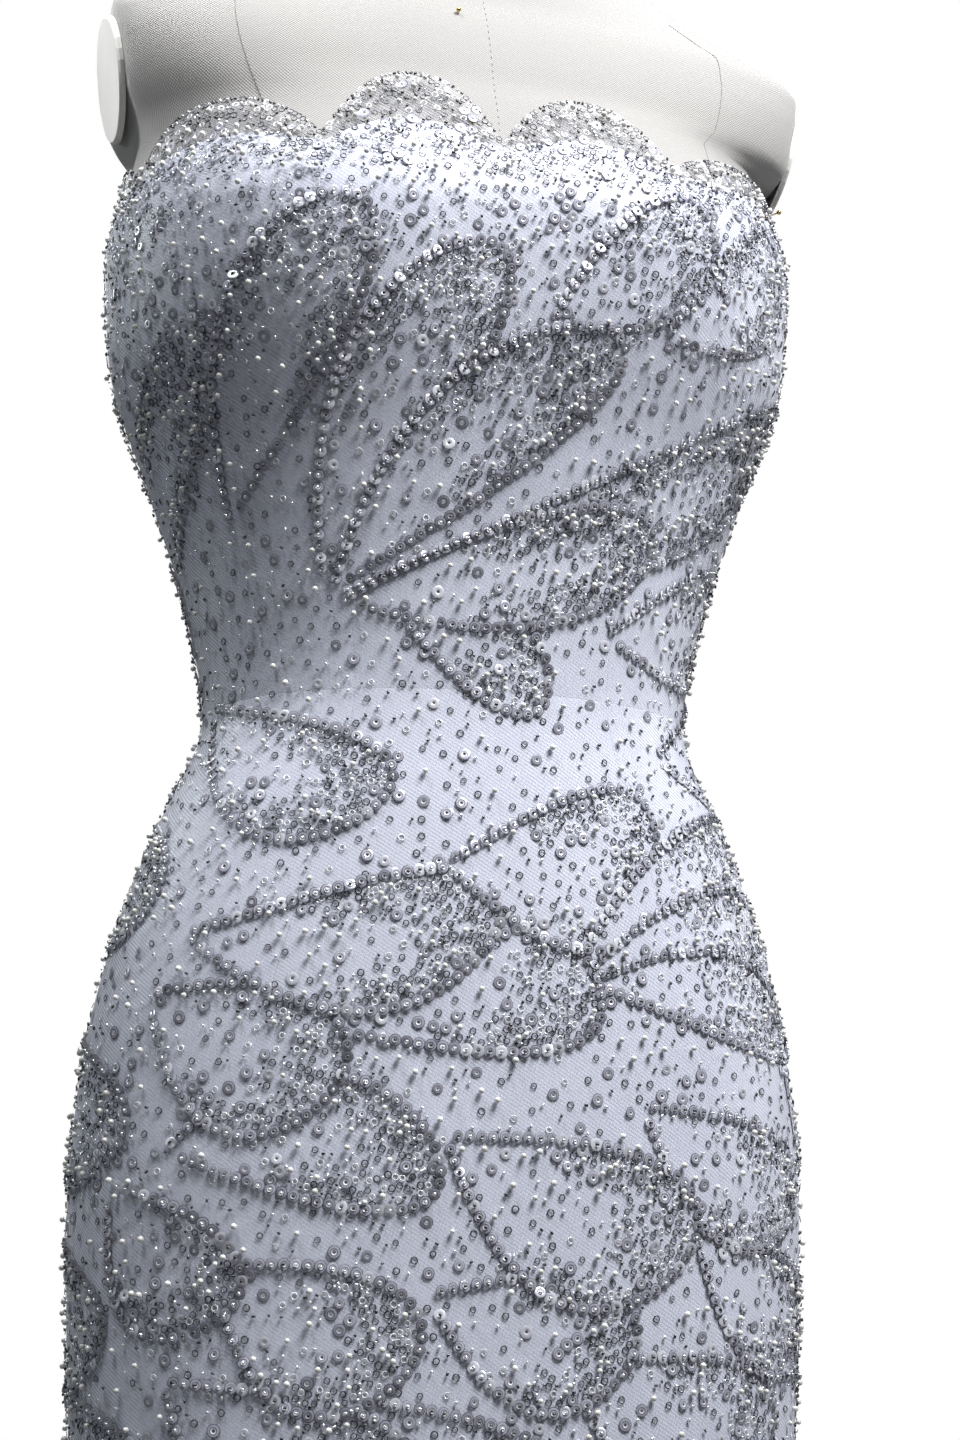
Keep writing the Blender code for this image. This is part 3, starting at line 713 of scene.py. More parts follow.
def pearl_finish():
    """Glass pearls: warm white with a satiny lustre."""
    finish = Finish("glass_pearls", Coat_Roughness=0.08, Sheen_Weight=0.3, Specular_IOR_Level=0.6)
    tone = bead_tone(finish)
    bloom = finish.noise(900.0, finish.place(), detail=2.0)
    return finish.finished(
        Base_Color=finish.mix(tone * 0.7 + bloom * 0.3, (0.60, 0.60, 0.57), (0.86, 0.86, 0.86)),
        Roughness=bloom * 0.12 + 0.16,
        Coat_Weight=bloom * 0.4 + 0.4,
    )


def seed_finish():
    """Tiny cut tubes: nearly black or nearly white, side by side."""
    finish = Finish("cut_seed_beads", Metallic=0.5, Coat_Weight=0.5, Coat_Roughness=0.04)
    tone = bead_tone(finish)
    split = (tone > 0.5) * 0.85 + tone * 0.15
    return finish.finished(
        Base_Color=finish.mix(split, (0.02, 0.02, 0.025), (0.92, 0.94, 0.98)),
        Roughness=finish.noise(3000.0, finish.place(), detail=1.0) * 0.14 + 0.08,
    )


def jersey_finish():
    """The dress form's cream-grey knitted cover, with fine wales and a few specks."""
    finish = Finish("cream_grey_jersey", Sheen_Weight=0.35, Sheen_Roughness=0.5)
    flat = finish.place(uv=True)
    wales = finish.bands(flat, 0, KNIT_PITCH)
    courses = finish.bands(flat, 1, KNIT_PITCH * 0.8)
    cloudy = finish.noise(9.0, flat, detail=4.0)
    specks = finish.noise(420.0, flat, detail=1.0) > 0.735
    ground = finish.mix(cloudy, JERSEY_SHADE, JERSEY_LIGHT)
    knit = finish.mix((wales * courses) * 0.10 + 0.10, ground, JERSEY_SHADE)
    return finish.finished(
        Base_Color=finish.mix(specks * 0.22, knit, (0.35, 0.33, 0.31)),
        Roughness=cloudy * 0.1 + 0.82,
        Normal=finish.bump(wales * courses, 0.00018, 0.6),
    )


def metal_finish(name, colour, roughness, metallic=1.0, stretch=(1.0, 1.0, 0.04)):
    """Metal or paint with fine drawn lines and slow blotches."""
    finish = Finish(name, Metallic=metallic)
    lines = finish.noise(1500.0, finish.place(scale=stretch), detail=2.0)
    blotch = finish.noise(25.0, finish.place(), detail=3.0)
    dull = tuple(0.82 * part for part in colour)
    return finish.finished(
        Base_Color=finish.mix(blotch, dull, colour),
        Roughness=lines * 0.16 + (roughness - 0.08),
        Normal=finish.bump(lines, 0.00004, 0.4),
    )


def thread_finish(name, colour):
    """Sewing thread or tape with a twist."""
    finish = Finish(name, Roughness=0.7, Sheen_Weight=0.2)
    twist = finish.noise(2600.0, finish.place(scale=(1.0, 1.0, 0.5)), detail=1.0)
    dark = tuple(0.7 * part for part in colour)
    return finish.finished(Base_Color=finish.mix(twist, dark, colour), Normal=finish.bump(twist, 0.0001, 0.5))


UNDRAWN = (1.0, 1.0, 1.0)  # metal and paint without drawn lines
FINISHES = {
    "satin": satin_finish(),
    "net": net_finish(),
    "cup_sequins": sequin_finish(),
    "glass_rings": glass_finish(),
    "pearls": pearl_finish(),
    "seed_beads": seed_finish(),
    "jersey": jersey_finish(),
    "seam_thread": thread_finish("grey_seam_thread", (0.26, 0.25, 0.24)),
    "zip_tape": thread_finish("lilac_zip_coil", (0.62, 0.64, 0.72)),
    "steel": metal_finish("brushed_steel", (0.58, 0.59, 0.61), 0.30),
    "zip_steel": metal_finish("nickel_zip_metal", (0.66, 0.66, 0.68), 0.24, stretch=UNDRAWN),
    "brass": metal_finish("brass_pins", (0.72, 0.55, 0.24), 0.22, stretch=UNDRAWN),
    "plate_paint": metal_finish("cream_plate_enamel", (0.90, 0.89, 0.86), 0.40, 0.0, UNDRAWN),
    "paint": metal_finish("stone_grey_enamel", (0.55, 0.54, 0.51), 0.42, 0.0, UNDRAWN),
}

# ---------------------------------------------------------------- the cloth

SATIN_DROP = 0.0003  # the satin lies this far under the beaded net, which has the solids' outer form
CLOTH_WALL = 0.0009
SEAM_DIP = 0.00015
SEAM_DIP_WIDTH = 0.0022
PUCKER_HEIGHT = 0.00008
PUCKER_PITCH = 0.011
PUCKER_REACH = 0.012
PANEL_SHARP_ANGLE = math.radians(50)
SATIN_GAP = 0.00008  # between neighbouring panels, which meet at a sewn seam
SATIN_ARC = 0.45  # how far the satin's top edge follows the scallops up behind the net
SATIN_ARC_FROM = SATIN_TOP - 0.040
FINE_EDGE = (0.0, 0.0015, 0.0032, 0.0060)  # columns beside a seam, metres in from it

SEAM_SIDE = SATIN_GAP / 2

# One tier of panels: its heights, whether each is a seam, its grid's steps, and what it rests on and how.
Tier = namedtuple("Tier", "name low high low_seam high_seam row_step column_step rests_on held")
TIERS = (
    Tier("bodice", WAIST + SEAM_SIDE, SATIN_TOP, True, False, 0.010, 0.009, "form_torso", "draped"),
    Tier("skirt", KNEE_SEAM + SEAM_SIDE, WAIST - SEAM_SIDE, True, True, 0.013, 0.011, "form_torso", "draped"),
    Tier("flounce", HEM, KNEE_SEAM - SEAM_SIDE, False, True, 0.020, 0.009, "skirt", "hung"),
)
PANELS = (
    ("side_front", "front_princess", "side"),
    ("side_back", "side", "back_princess"),
    ("centre_back", "back_princess", "centre_back"),
)


def edge_steps(width, step):
    """Distances in from one edge to the other, closer together beside both edges."""
    inner = np.linspace(FINE_EDGE[-1], width - FINE_EDGE[-1], max(2, int(round(width / step))))
    return np.concatenate([FINE_EDGE[:-1], inner, width - np.array(FINE_EDGE[:-1])[::-1]])


def panel_shares(height, start, end, side, spread):
    """Shares of a panel's columns at one height, spread from 0 at one seam to 1 at the other."""
    half = float(CLOTH.half_girth(height))
    last = seam_share(end, height)
    at_zip = end == "centre_back" and height >= ZIP_BOTTOM
    last -= (ZIP_SLOT_HALF if at_zip else SEAM_SIDE) / half
    first = -last if side == 0 else seam_share(start, height) + SEAM_SIDE / half
    shares = first + (last - first) * spread
    return -shares[::-1] if side < 0 else shares


def seam_relief(shares, height, tier):
    """How far the satin dips beside its seams, with small puckers along them."""
    half = float(CLOTH.half_girth(height))
    aside = np.minimum(shares - shares[0], shares[-1] - shares) * half
    near = bell(aside, SEAM_DIP_WIDTH)
    for wanted, level in ((tier.low_seam, tier.low), (tier.high_seam, tier.high)):
        if wanted:
            near = np.maximum(near, bell(height - level, SEAM_DIP_WIDTH))
    pucker = np.sin(2 * math.pi * height / PUCKER_PITCH) * bell(aside, PUCKER_REACH)
    return PUCKER_HEIGHT * pucker - SEAM_DIP * near


def satin_arc(shares, height):
    """How far a row of the bodice is raised, so that the satin's edge arches under each scallop."""
    near = clamped((height - SATIN_ARC_FROM) / (SATIN_TOP - SATIN_ARC_FROM)) ** 2
    return near * SATIN_ARC * (scallop_top(shares) - VALLEY_HEIGHT)


def add_panel(tier, label, start, end, side):
    """One satin panel between two seams. Its side is 1 for left, -1 for right and 0 across the front."""
    rows = edge_steps(tier.high - tier.low, tier.row_step) + tier.low
    middle = (tier.low + tier.high) / 2 if tier.name != "flounce" else tier.low
    span = seam_share(end, middle) - (seam_share(start, middle) if side else -seam_share(end, middle))
    width = span * float(CLOTH.half_girth(middle))
    spread = edge_steps(width, tier.column_step) / width
    outer, inner, uvs = [], [], []
    for height in rows:
        shares = panel_shares(height, start, end, side, spread)
        relief = seam_relief(shares, height, tier) - SATIN_DROP
        level = height + satin_arc(shares, height)
        outer.append(CLOTH.at(shares, level, relief))
        inner.append(CLOTH.at(shares, level, relief - CLOTH_WALL))
        outer[-1][:, 2] = level
        inner[-1][:, 2] = level
        uvs.append(np.stack([shares * float(CLOTH.half_girth(height)), level], axis=1))
    outer, inner, uvs = np.array(outer), np.array(inner), np.array(uvs).reshape(-1, 2)
    vertices, faces = shell(outer, inner)
    node = f"{tier.name}_{label}"
    piece = add_piece(f"satin_{node}", vertices, faces, FINISHES["satin"], np.concatenate([uvs, uvs]))
    piece.data.set_sharp_from_angle(angle=PANEL_SHARP_ANGLE)
    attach(piece, CLOTH_BODY)
    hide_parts(node)
    rests_on = tier.rests_on if tier.rests_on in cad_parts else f"satin_{tier.rests_on}_{label}"
    declare_sheet(outer)


NET_ROW_STEP = 0.012
NET_COLUMN_STEP = 0.011
FLOUNCE_NET_ROW_STEP = 0.030
FLOUNCE_NET_COLUMN_STEP = 0.0055  # fine enough to stay over the satin on the crests of its folds


def add_net_overlay(tier, label, side):
    """One layer of net over a tier of satin, cut without its princess seams."""
    steps = (NET_ROW_STEP, NET_COLUMN_STEP)
    if tier.name == "flounce":
        steps = (FLOUNCE_NET_ROW_STEP, FLOUNCE_NET_COLUMN_STEP)
    rows = max(2, int(round((tier.high - tier.low) / steps[0]))) + 1
    widest = float(CLOTH.half_girth(tier.low if tier.name != "bodice" else tier.high))
    columns = int((1.0 if side == 0 else 0.5) * widest / steps[1]) + 1
    grid, uvs = [], []
    for height in np.linspace(tier.low, tier.high, rows):
        half = float(CLOTH.half_girth(height))
        side_seam = seam_share("side", height)
        back = 1.0 - (ZIP_SLOT_HALF if height >= ZIP_BOTTOM else SEAM_SIDE) / half
        first, last = (-side_seam, side_seam) if side == 0 else (side_seam, back)
        shares = np.linspace(first, last, columns) if side >= 0 else np.linspace(-last, -first, columns)
        grid.append(CLOTH.at(shares, height))
        grid[-1][:, 2] = height
        uvs.append(np.stack([shares * half, np.full(columns, height)], axis=1))
    grid = np.array(grid)
    name = f"net_{tier.name}_{label}"
    vertices = grid.reshape(-1, 3)
    faces = grid_faces(rows, columns)
    piece = add_piece(name, vertices, faces, FINISHES["net"], np.array(uvs).reshape(-1, 2))
    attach(piece, CLOTH_BODY)
    declare_sheet(grid)


def add_nets():
    for tier in TIERS:
        for label, side in (("front", 0), ("back_left", 1), ("back_right", -1)):
            add_net_overlay(tier, label, side)


def add_gown():
    for tier in TIERS:
        add_panel(tier, "centre_front", None, "front_princess", 0)
        for name, start, end in PANELS:
            for label, side in (("left", 1), ("right", -1)):
                add_panel(tier, f"{name}_{label}", start, end, side)


BORDER_COLUMNS = 260
BORDER_ROWS = 10
BORDER_OVERLAP = 0.0004


def add_border(label, side):
    """Half of the scalloped border: one layer of sheer net above the satin's edge."""
    half = float(CLOTH.half_girth(SATIN_TOP))
    shares = np.linspace(SEAM_GAP / 2 / half, 1 - ZIP_SLOT_HALF / half, BORDER_COLUMNS)
    shares = shares if side > 0 else -shares[::-1]
    top = scallop_top(shares)
    low = SATIN_TOP - BORDER_OVERLAP
    heights = low + np.linspace(0, 1, BORDER_ROWS)[:, None] * (top - low)[None, :]
    all_shares = np.broadcast_to(shares, heights.shape)
    grid = CLOTH.at(all_shares, heights)
    uvs = np.stack([all_shares * half, heights], axis=2).reshape(-1, 2)
    faces = grid_faces(BORDER_ROWS, BORDER_COLUMNS)
    piece = add_piece(f"net_border_{label}", grid.reshape(-1, 3), faces, FINISHES["net"], uvs)
    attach(piece, CLOTH_BODY)
    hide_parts(f"neck_border_{label}")
    declare_sheet(grid)


# ---------------------------------------------------------------- where the beads go


def petal_rows():
    """The rule-made petals below the chosen ones, each turned and sized a little differently."""
    rng = np.random.default_rng(SEED)
    petals = []
    z, row = PETAL_ROWS_FROM, 0
    while z > PETAL_ROWS_TO:
        flare = 1 + PETAL_FLARE * clamped((KNEE_SEAM - WAIST - z) / PETAL_FLARE_OVER)
        shift = (row % 2) * PETAL_COLUMN_STEP / 2
        for x in np.arange(-PETAL_ROW_REACH, PETAL_ROW_REACH, PETAL_COLUMN_STEP):
            turn, grow, slide = rng.uniform(-1, 1, 3)
            aim = PETAL_ROW_AIM + PETAL_TURNS * turn
            length = PETAL_ROW_LENGTH * flare * (1 + PETAL_LENGTHENS * grow)
            width = PETAL_ROW_WIDTH * flare * (1 + PETAL_WIDENS * grow)
            root = flare * (x + shift + PETAL_SLIDES * slide), z + PETAL_RISES * turn
            tip = root[0] + length * math.cos(aim), root[1] + length * math.sin(aim)
            petals.append(Petal(*root, *tip, width, PETAL_ROW_BOW))
        z, row = z - PETAL_ROW_STEP * flare, row + 1
    return petals


ALL_PETALS = (*PETALS, *petal_rows())


def petal_axes(petal):
    """Root, unit direction, unit left-hand direction and length of a petal."""
    root = np.array([petal.root_x, WAIST + petal.root_z])
    run = np.array([petal.tip_x - petal.root_x, petal.tip_z - petal.root_z])
    length = float(np.linalg.norm(run))
    along = run / length
    return root, along, np.array([-along[1], along[0]]), length


def petal_half_width(petal, t):
    """Half width at a share t of the petal's length: a slim stem that swells into a round tip."""
    stem = np.sin(math.pi / 2 * clamped(t / PETAL_FULLEST)) ** STEM_TAPER
    tip = np.sqrt(clamped(1 - ((t - PETAL_FULLEST) / (1 - PETAL_FULLEST)) ** 2))
    return petal.width / 2 * np.where(t < PETAL_FULLEST, stem, tip)


def petal_view(petal, x, height):
    """For places on the cloth: share along the petal, and distance inside its outline (below 0 outside)."""
    root, along, left, length = petal_axes(petal)
    dx, dz = x - root[0], height - root[1]
    t = (dx * along[0] + dz * along[1]) / length
    aside = dx * left[0] + dz * left[1] - petal.bow * 4 * t * (1 - t) * length
    half = petal_half_width(petal, t)
    past = np.maximum(t - PETAL_FULLEST, 0) / (1 - PETAL_FULLEST)
    round_ = 1 - np.sqrt(past**2 + (2 * aside / petal.width) ** 2)
    side = half - np.abs(aside)
    inside = np.where(t < PETAL_FULLEST, side, round_ * petal.width / 2)
    return t, np.where((t < 0) | (t > 1), -1.0, inside)


def petal_rim(petal):
    """Places along a petal's outline a chain step apart, their share of its length, and the way it runs."""
    root, along, left, length = petal_axes(petal)
    tip = 1 - (1 - PETAL_FULLEST) * (1 - np.sin(np.linspace(0, math.pi / 2, TIP_SAMPLES)))
    t = np.concatenate([np.linspace(0.0, PETAL_FULLEST, STEM_SAMPLES), tip])
    half = petal_half_width(petal, t)
    t, half = np.concatenate([t, t[::-1]]), np.concatenate([half, -half[::-1]])
    aside = half + petal.bow * 4 * t * (1 - t) * length
    line = root + np.outer(t * length, along) + np.outer(aside, left)
    run = run_along(line)
    even = np.arange(CHAIN_STEP, run[-1] - CHAIN_STEP, CHAIN_STEP)
    x, height = np.interp(even, run, line[:, 0]), np.interp(even, run, line[:, 1])
    way = np.arctan2(np.gradient(height), np.gradient(x))
    return np.stack([x, height, way], axis=1), np.interp(even, run, t)


def packing(x, height):
    """How packed the beads are at places on the cloth, from 0 between the petals to 1 inside a round tip."""
    packed = np.zeros(len(x))
    free = np.ones(len(x), bool)
    for petal in ALL_PETALS:
        t, inside = petal_view(petal, x, height)
        here = free & (inside > 0)
        tipward = clamped((t[here] - PACKED_FROM) / PACKED_OVER)
        by_rim = np.exp(-((inside[here] / PACKED_BAND) ** 3))
        middle = TIP_FILL * clamped((t[here] - TIP_FILL_FROM) / TIP_FILL_OVER)
        packed[here] = tipward * np.maximum(by_rim, middle)
        free &= ~here
    return packed


def chain_places():
    """The chained sequins, on every petal's rim where no petal above covers it, front and back."""
    found = []
    for behind in (False, True):
        for order, petal in enumerate(ALL_PETALS):
            points, t = petal_rim(petal)
            x, height, way = points.T
            share = CLOTH.share_of(x, height, behind)
            seen = np.abs(share) > 0.5 if behind else np.abs(share) < 0.5
            seen &= (np.abs(x) < CLOTH.half_girth(height)) & (height > HEM)
            seen &= height < scallop_top(share) - CHAIN_BELOW_EDGE
            for above in ALL_PETALS[:order]:
                seen &= petal_view(above, x, height)[1] < HIDDEN_FROM
            size = CHAIN_SMALLEST + CHAIN_GROWS * np.sin(math.pi * clamped(t * CHAIN_SWELLS))
            found.append(np.stack([share, height, size, way], axis=1)[seen])
    return np.concatenate(found).T


def edge_places(pitch, drop):
    """Places along the scalloped edge, a drop below it."""
    count = int(2 * CLOTH.half_girth(SATIN_TOP) * EDGE_LONGER / pitch)
    shares = np.linspace(-EDGE_ROW_REACH, EDGE_ROW_REACH, count)
    return shares, scallop_top(shares) - drop


def bead_density(share, height):
    """Wanted beads per square metre, and how packed the place is."""
    packed = packing(CLOTH.across(share, height), height)
    top = scallop_top(share)
    band = bell(clamped(top - height), EDGE_BAND)
    arc = VALLEY_HEIGHT + ARC_FOLLOWS * (top - VALLEY_HEIGHT) - ARC_DROP
    arc = ARC_SHARE * bell(height - arc, ARC_BAND)
    near = (np.abs(share) <= 0.5) & (height > PACKED_DOWN_TO)
    far = np.where(height > KNEE_SEAM, FAR_PACKING, FLOUNCE_PACKING)
    packed = np.maximum(packed, np.maximum(band, arc)) * np.where(near, 1.0, far)
    down = clamped((KNEE_SEAM - height) / (KNEE_SEAM - HEM))
    over_bust = clamped((height - BUST_DENSER_FROM) / BUST_DENSER_OVER)
    plain = PLAIN_DENSITY + (HEM_DENSITY - PLAIN_DENSITY) * down**HEM_THINNING + BUST_EXTRA * over_bust
    return plain + (PACKED_DENSITY - plain) * packed, packed


def scattered_candidates(rng):
    """Random places on the cloth, denser where more beads are wanted."""
    slant = np.linalg.norm(np.diff(CLOTH.points[:, RING_SAMPLES // 2], axis=0), axis=1)
    middle = (CLOTH.half_girths[1:] + CLOTH.half_girths[:-1]) / 2
    areas = np.concatenate([[0.0], np.cumsum(2 * middle * slant)])
    count = int(areas[-1] * PACKED_DENSITY * CANDIDATES_PER_BEAD)
    height = np.interp(rng.uniform(0, areas[-1], count), areas, CLOTH.heights)
    share = rng.uniform(-1, 1, count)
    keep = (height < scallop_top(share) - EDGE_MARGIN) & (height > HEM + HEM_MARGIN)
    share, height = share[keep], height[keep]
    density, packed = bead_density(share, height)
    keep = rng.uniform(0, 1, len(share)) < density / PACKED_DENSITY
    return share[keep], height[keep], density[keep], packed[keep]


BeadSet = namedtuple("BeadSet", "share height kind size chained way lift")


def joined(sets):
    """All the sets as one."""
    return BeadSet(*(np.concatenate(parts) for parts in zip(*sets)))


def bead_set(share, height, kind, size, chained=False, way=None, lift=0.0):
    """Beads of one sort; way is the direction that each lies in, from the horizontal."""
    full = [np.broadcast_to(value, share.shape).astype(float) for value in (kind, size, chained, lift)]
    way = np.zeros(share.shape) if way is None else way
    return BeadSet(share, height, full[0].astype(int), full[1], full[2] > 0, way, full[3])


def fixed_beads(rng):
    """The chains, with a tube at each sequin's hole, and the row along the scalloped edge."""
    share, height, size, way = chain_places()
    share_at_edge, edge = edge_places(EDGE_ROW_PITCH, EDGE_ROW_DROP)
    kinds = np.where(rng.uniform(0, 1, len(edge)) < EDGE_ROW_TUBES, SEED_BEAD, RING_BEAD)
    turned = rng.uniform(0, math.pi, len(edge))
    return (
        bead_set(share, height, SEQUIN, size, chained=True, way=way, lift=CHAIN_LIFT),
        bead_set(share, height, SEED_BEAD, FIXED_SIZE, way=way, lift=CHAIN_TUBE_LIFT),
        bead_set(share_at_edge, edge, kinds, FIXED_SIZE, way=turned),
    )


def set_beads():
    """Chooses every bead: the fixed ones, then scattered ones that keep clear of them and of each other."""
    rng = np.random.default_rng(SEED)
    share, height, density, packed = scattered_candidates(rng)
    odds_plain = np.cumsum([bead.plain for bead in BEADS]) / 100
    odds_packed = np.cumsum([bead.packed for bead in BEADS]) / 100
    draw = rng.uniform(0, 1, len(share))
    edge = odds_plain[None, :] + (odds_packed - odds_plain)[None, :] * packed[:, None]
    kind = np.minimum((draw[:, None] > edge).sum(axis=1), len(BEADS) - 1)
    radius = np.array([bead.outer for bead in BEADS])[kind]
    spacing = np.sqrt(LOOSE_SPACING / density)

    order = np.lexsort((rng.uniform(0, 1, len(share)), kind == SEED_BEAD))
    share, height, kind = share[order], height[order], kind[order]
    spacing, radius = spacing[order], TOUCHING * radius[order]
    closeness = np.where(kind == SEED_BEAD, SEED_CLOSENESS, 1.0)
    spots = CLOTH.at(share, height)
    tree = kdtree.KDTree(len(spots))
    for i, spot in enumerate(spots):
        tree.insert(spot, i)
    tree.balance()
    alive = np.ones(len(spots), bool)
    fixed = fixed_beads(rng)
    for beads in fixed:
        clear = CHAIN_CLEAR if beads.chained.any() else EDGE_CLEAR
        for spot in CLOTH.at(beads.share, beads.height):
            for _, i, _ in tree.find_range(spot, clear):
                alive[i] = False
    for i, spot in enumerate(spots):
        if alive[i]:
            for _, j, apart in tree.find_range(spot, max(spacing[i], radius[i] + BEADS[SEQUIN].outer)):
                if j > i and apart < max(radius[i] + radius[j], spacing[i] * closeness[j]):
                    alive[j] = False
    count = int(alive.sum())
    turned, size = rng.uniform(0, math.pi, count), rng.uniform(*LOOSE_SIZES, count)
    lift = np.choose(kind[alive], [bead.lift for bead in BEADS])
    scattered = bead_set(share[alive], height[alive], kind[alive], size, way=turned, lift=lift)
    return joined([scattered, *fixed])


# ---------------------------------------------------------------- bead meshes by Geometry Nodes


class NodeTree:
    """A Geometry Nodes tree from points to beads, with named inputs, built a node at a time."""

    def __init__(self, name, floats, whole_numbers=("Sides",)):
        self.tree = bpy.data.node_groups.new(name, "GeometryNodeTree")
        kinds = {"Points": "Geometry", "Material": "Material"}
        kinds.update({**dict.fromkeys(floats, "Float"), **dict.fromkeys(whole_numbers, "Int")})
        for label, kind in kinds.items():
            self.tree.interface.new_socket(label, in_out="INPUT", socket_type=f"NodeSocket{kind}")
        self.tree.interface.new_socket("Geometry", in_out="OUTPUT", socket_type="NodeSocketGeometry")
        self.start = self.tree.nodes.new("NodeGroupInput")
        self.end = self.tree.nodes.new("NodeGroupOutput")

    def given(self, label):
        return self.start.outputs[label]

    def node(self, kind, settings=None, sockets=None, output=0):
        return add_node(self.tree, kind, settings, sockets).outputs[output]

    def finish(self, geometry):
        self.tree.links.new(geometry, self.end.inputs[0])
        return self.tree

    def apply(self, carrier, values):
        """Runs the tree on a carrier object and gives the result as a plain mesh."""
        modifier = carrier.modifiers.new(self.tree.name, "NODES")
        modifier.node_group = self.tree
        for item in self.tree.interface.items_tree:
            if item.item_type == "SOCKET" and item.in_out == "INPUT" and item.name in values:
                modifier[item.identifier] = values[item.name]
        graph = bpy.context.evaluated_depsgraph_get()
        mesh = bpy.data.meshes.new_from_object(carrier.evaluated_get(graph), depsgraph=graph)
        bpy.data.objects.remove(carrier)
        return mesh


def set_on_points(tree, bead):
    """Sets a bead on every point, facing where the point's facing attribute says, at its size."""
    facing = tree.node("GeometryNodeInputNamedAttribute", {"data_type": "FLOAT_VECTOR"}, {"Name": "facing"})
    size = tree.node("GeometryNodeInputNamedAttribute", {"data_type": "FLOAT"}, {"Name": "size"})
    turn = tree.node("FunctionNodeAlignRotationToVector", {"axis": "Z"}, {"Vector": facing})
    sockets = {"Points": tree.given("Points"), "Instance": bead, "Rotation": turn, "Scale": size}
    placed = tree.node("GeometryNodeInstanceOnPoints", None, sockets)
    real = tree.node("GeometryNodeRealizeInstances", None, {0: placed})
    smooth_ = tree.node("GeometryNodeSetShadeSmooth", None, {0: real})
    return tree.node("GeometryNodeSetMaterial", None, {0: smooth_, "Material": tree.given("Material")})


def ring_bead_tree():
    """A pierced bead or cup sequin: an outer and an inner wall that meet at a crown."""
    tree = NodeTree("pierced_bead", ("Outer Radius", "Crown Radius", "Hole Radius", "Height"))
    walls = []
    for foot in ("Outer Radius", "Hole Radius"):
        sockets = {
            "Vertices": tree.given("Sides"),
            "Radius Bottom": tree.given(foot),
            "Radius Top": tree.given("Crown Radius"),
            "Depth": tree.given("Height"),
        }
        walls.append(tree.node("GeometryNodeMeshCone", {"fill_type": "NONE"}, sockets))
    walls[1] = tree.node("GeometryNodeFlipFaces", None, {0: walls[1]})
    together = tree.node("GeometryNodeJoinGeometry")
    for wall in walls:
        tree.tree.links.new(wall, together.node.inputs[0])
    welded = tree.node("GeometryNodeMergeByDistance", None, {0: together, "Distance": 1e-5})
    place = tree.node("GeometryNodeInputPosition")
    far = tree.node("ShaderNodeVectorMath", {"operation": "LENGTH"}, {0: place}, output=1)
    reach = tree.node("ShaderNodeMath", {"operation": "DIVIDE"}, {0: far, 1: tree.given("Outer Radius")})
    settings = {"data_type": "FLOAT", "domain": "POINT"}
    sockets = {0: welded, "Name": "reach", "Value": reach}
    marked = tree.node("GeometryNodeStoreNamedAttribute", settings, sockets)
    tree.finish(set_on_points(tree, marked))
    return tree


def round_bead_tree():
    """A ball that stands on the cloth."""
    tree = NodeTree("round_bead", ("Outer Radius",), ("Sides", "Rings"))
    radius = tree.given("Outer Radius")
    sockets = {"Segments": tree.given("Sides"), "Rings": tree.given("Rings"), "Radius": radius}
    ball = tree.node("GeometryNodeMeshUVSphere", None, sockets)
    lift = tree.node("ShaderNodeCombineXYZ", None, {"Z": radius})
    raised = tree.node("GeometryNodeTransform", None, {0: ball, "Translation": lift})
    tree.finish(set_on_points(tree, raised))
    return tree


def tube_bead_tree():
    """A short tube whose axis lies where the bead faces."""
    tree = NodeTree("tube_bead", ("Outer Radius", "Height"))
    radius, length, sides = tree.given("Outer Radius"), tree.given("Height"), tree.given("Sides")
    tube = tree.node("GeometryNodeMeshCylinder", None, {"Vertices": sides, "Radius": radius, "Depth": length})
    tree.finish(set_on_points(tree, tube))
    return tree


def carrier_of(name, points, facing, size, tone):
    """A mesh of bare points that carries what each bead needs."""
    mesh = bpy.data.meshes.new(name)
    mesh.vertices.add(len(points))
    mesh.vertices.foreach_set("co", points.astype(np.float32).ravel())
    for label, kind, key, values in (
        ("facing", "FLOAT_VECTOR", "vector", facing),
        ("size", "FLOAT", "value", size),
        ("tone", "FLOAT", "value", tone),
    ):
        layer = mesh.attributes.new(label, kind, "POINT")
        layer.data.foreach_set(key, values.astype(np.float32).ravel())
    return link_object(name, mesh)


def add_tubes(name, places, along, tone, radius, length, finish):
    """A short tube at each place: the stitches of a seam, or the turns of the zip's coil."""
    ones = np.ones(len(places))
    carrier = carrier_of(name, places, along, ones, tone * ones)
    sockets = {"Outer Radius": radius, "Height": length, "Sides": TUBE_SIDES}
    mesh = tube_bead_tree().apply(carrier, {**sockets, "Material": FINISHES[finish]})
    return link_object(name, mesh)


def bead_facing(beads, rng):
    """Where each bead faces: out of the cloth with a small tilt, while tubes lie along it."""
    normal = CLOTH.normal(beads.share, beads.height)
    across = unit(np.cross([0.0, 0.0, 1.0], normal))
    along = across * np.cos(beads.way)[:, None] + np.cross(normal, across) * np.sin(beads.way)[:, None]
    facing = normal + LOOSE_TILT * rng.normal(0, 1, normal.shape)
    facing = facing + np.where(beads.chained, CHAIN_TILT, 0.0)[:, None] * along
    facing = np.where((beads.kind == SEED_BEAD)[:, None], along + TUBE_TILT * normal, facing)
    return unit(facing)


def regions(share, height):
    """Names of the stretches of cloth, each with its beads, and whether the photo's side shows it."""
    front = np.abs(share) <= 0.5
    upper, low = height >= WAIST, height < KNEE_SEAM
    middle = ~upper & ~low
    hips = middle & (height > FINE_DOWN_TO)
    return {
        "bodice_front": (front & upper, True),
        "bodice_back": (~front & upper, False),
        "hips_front": (front & hips, True),
        "hips_back": (~front & hips, False),
        "skirt_front": (front & middle & ~hips, False),
        "skirt_back": (~front & middle & ~hips, False),
        "flounce": (low, False),
    }


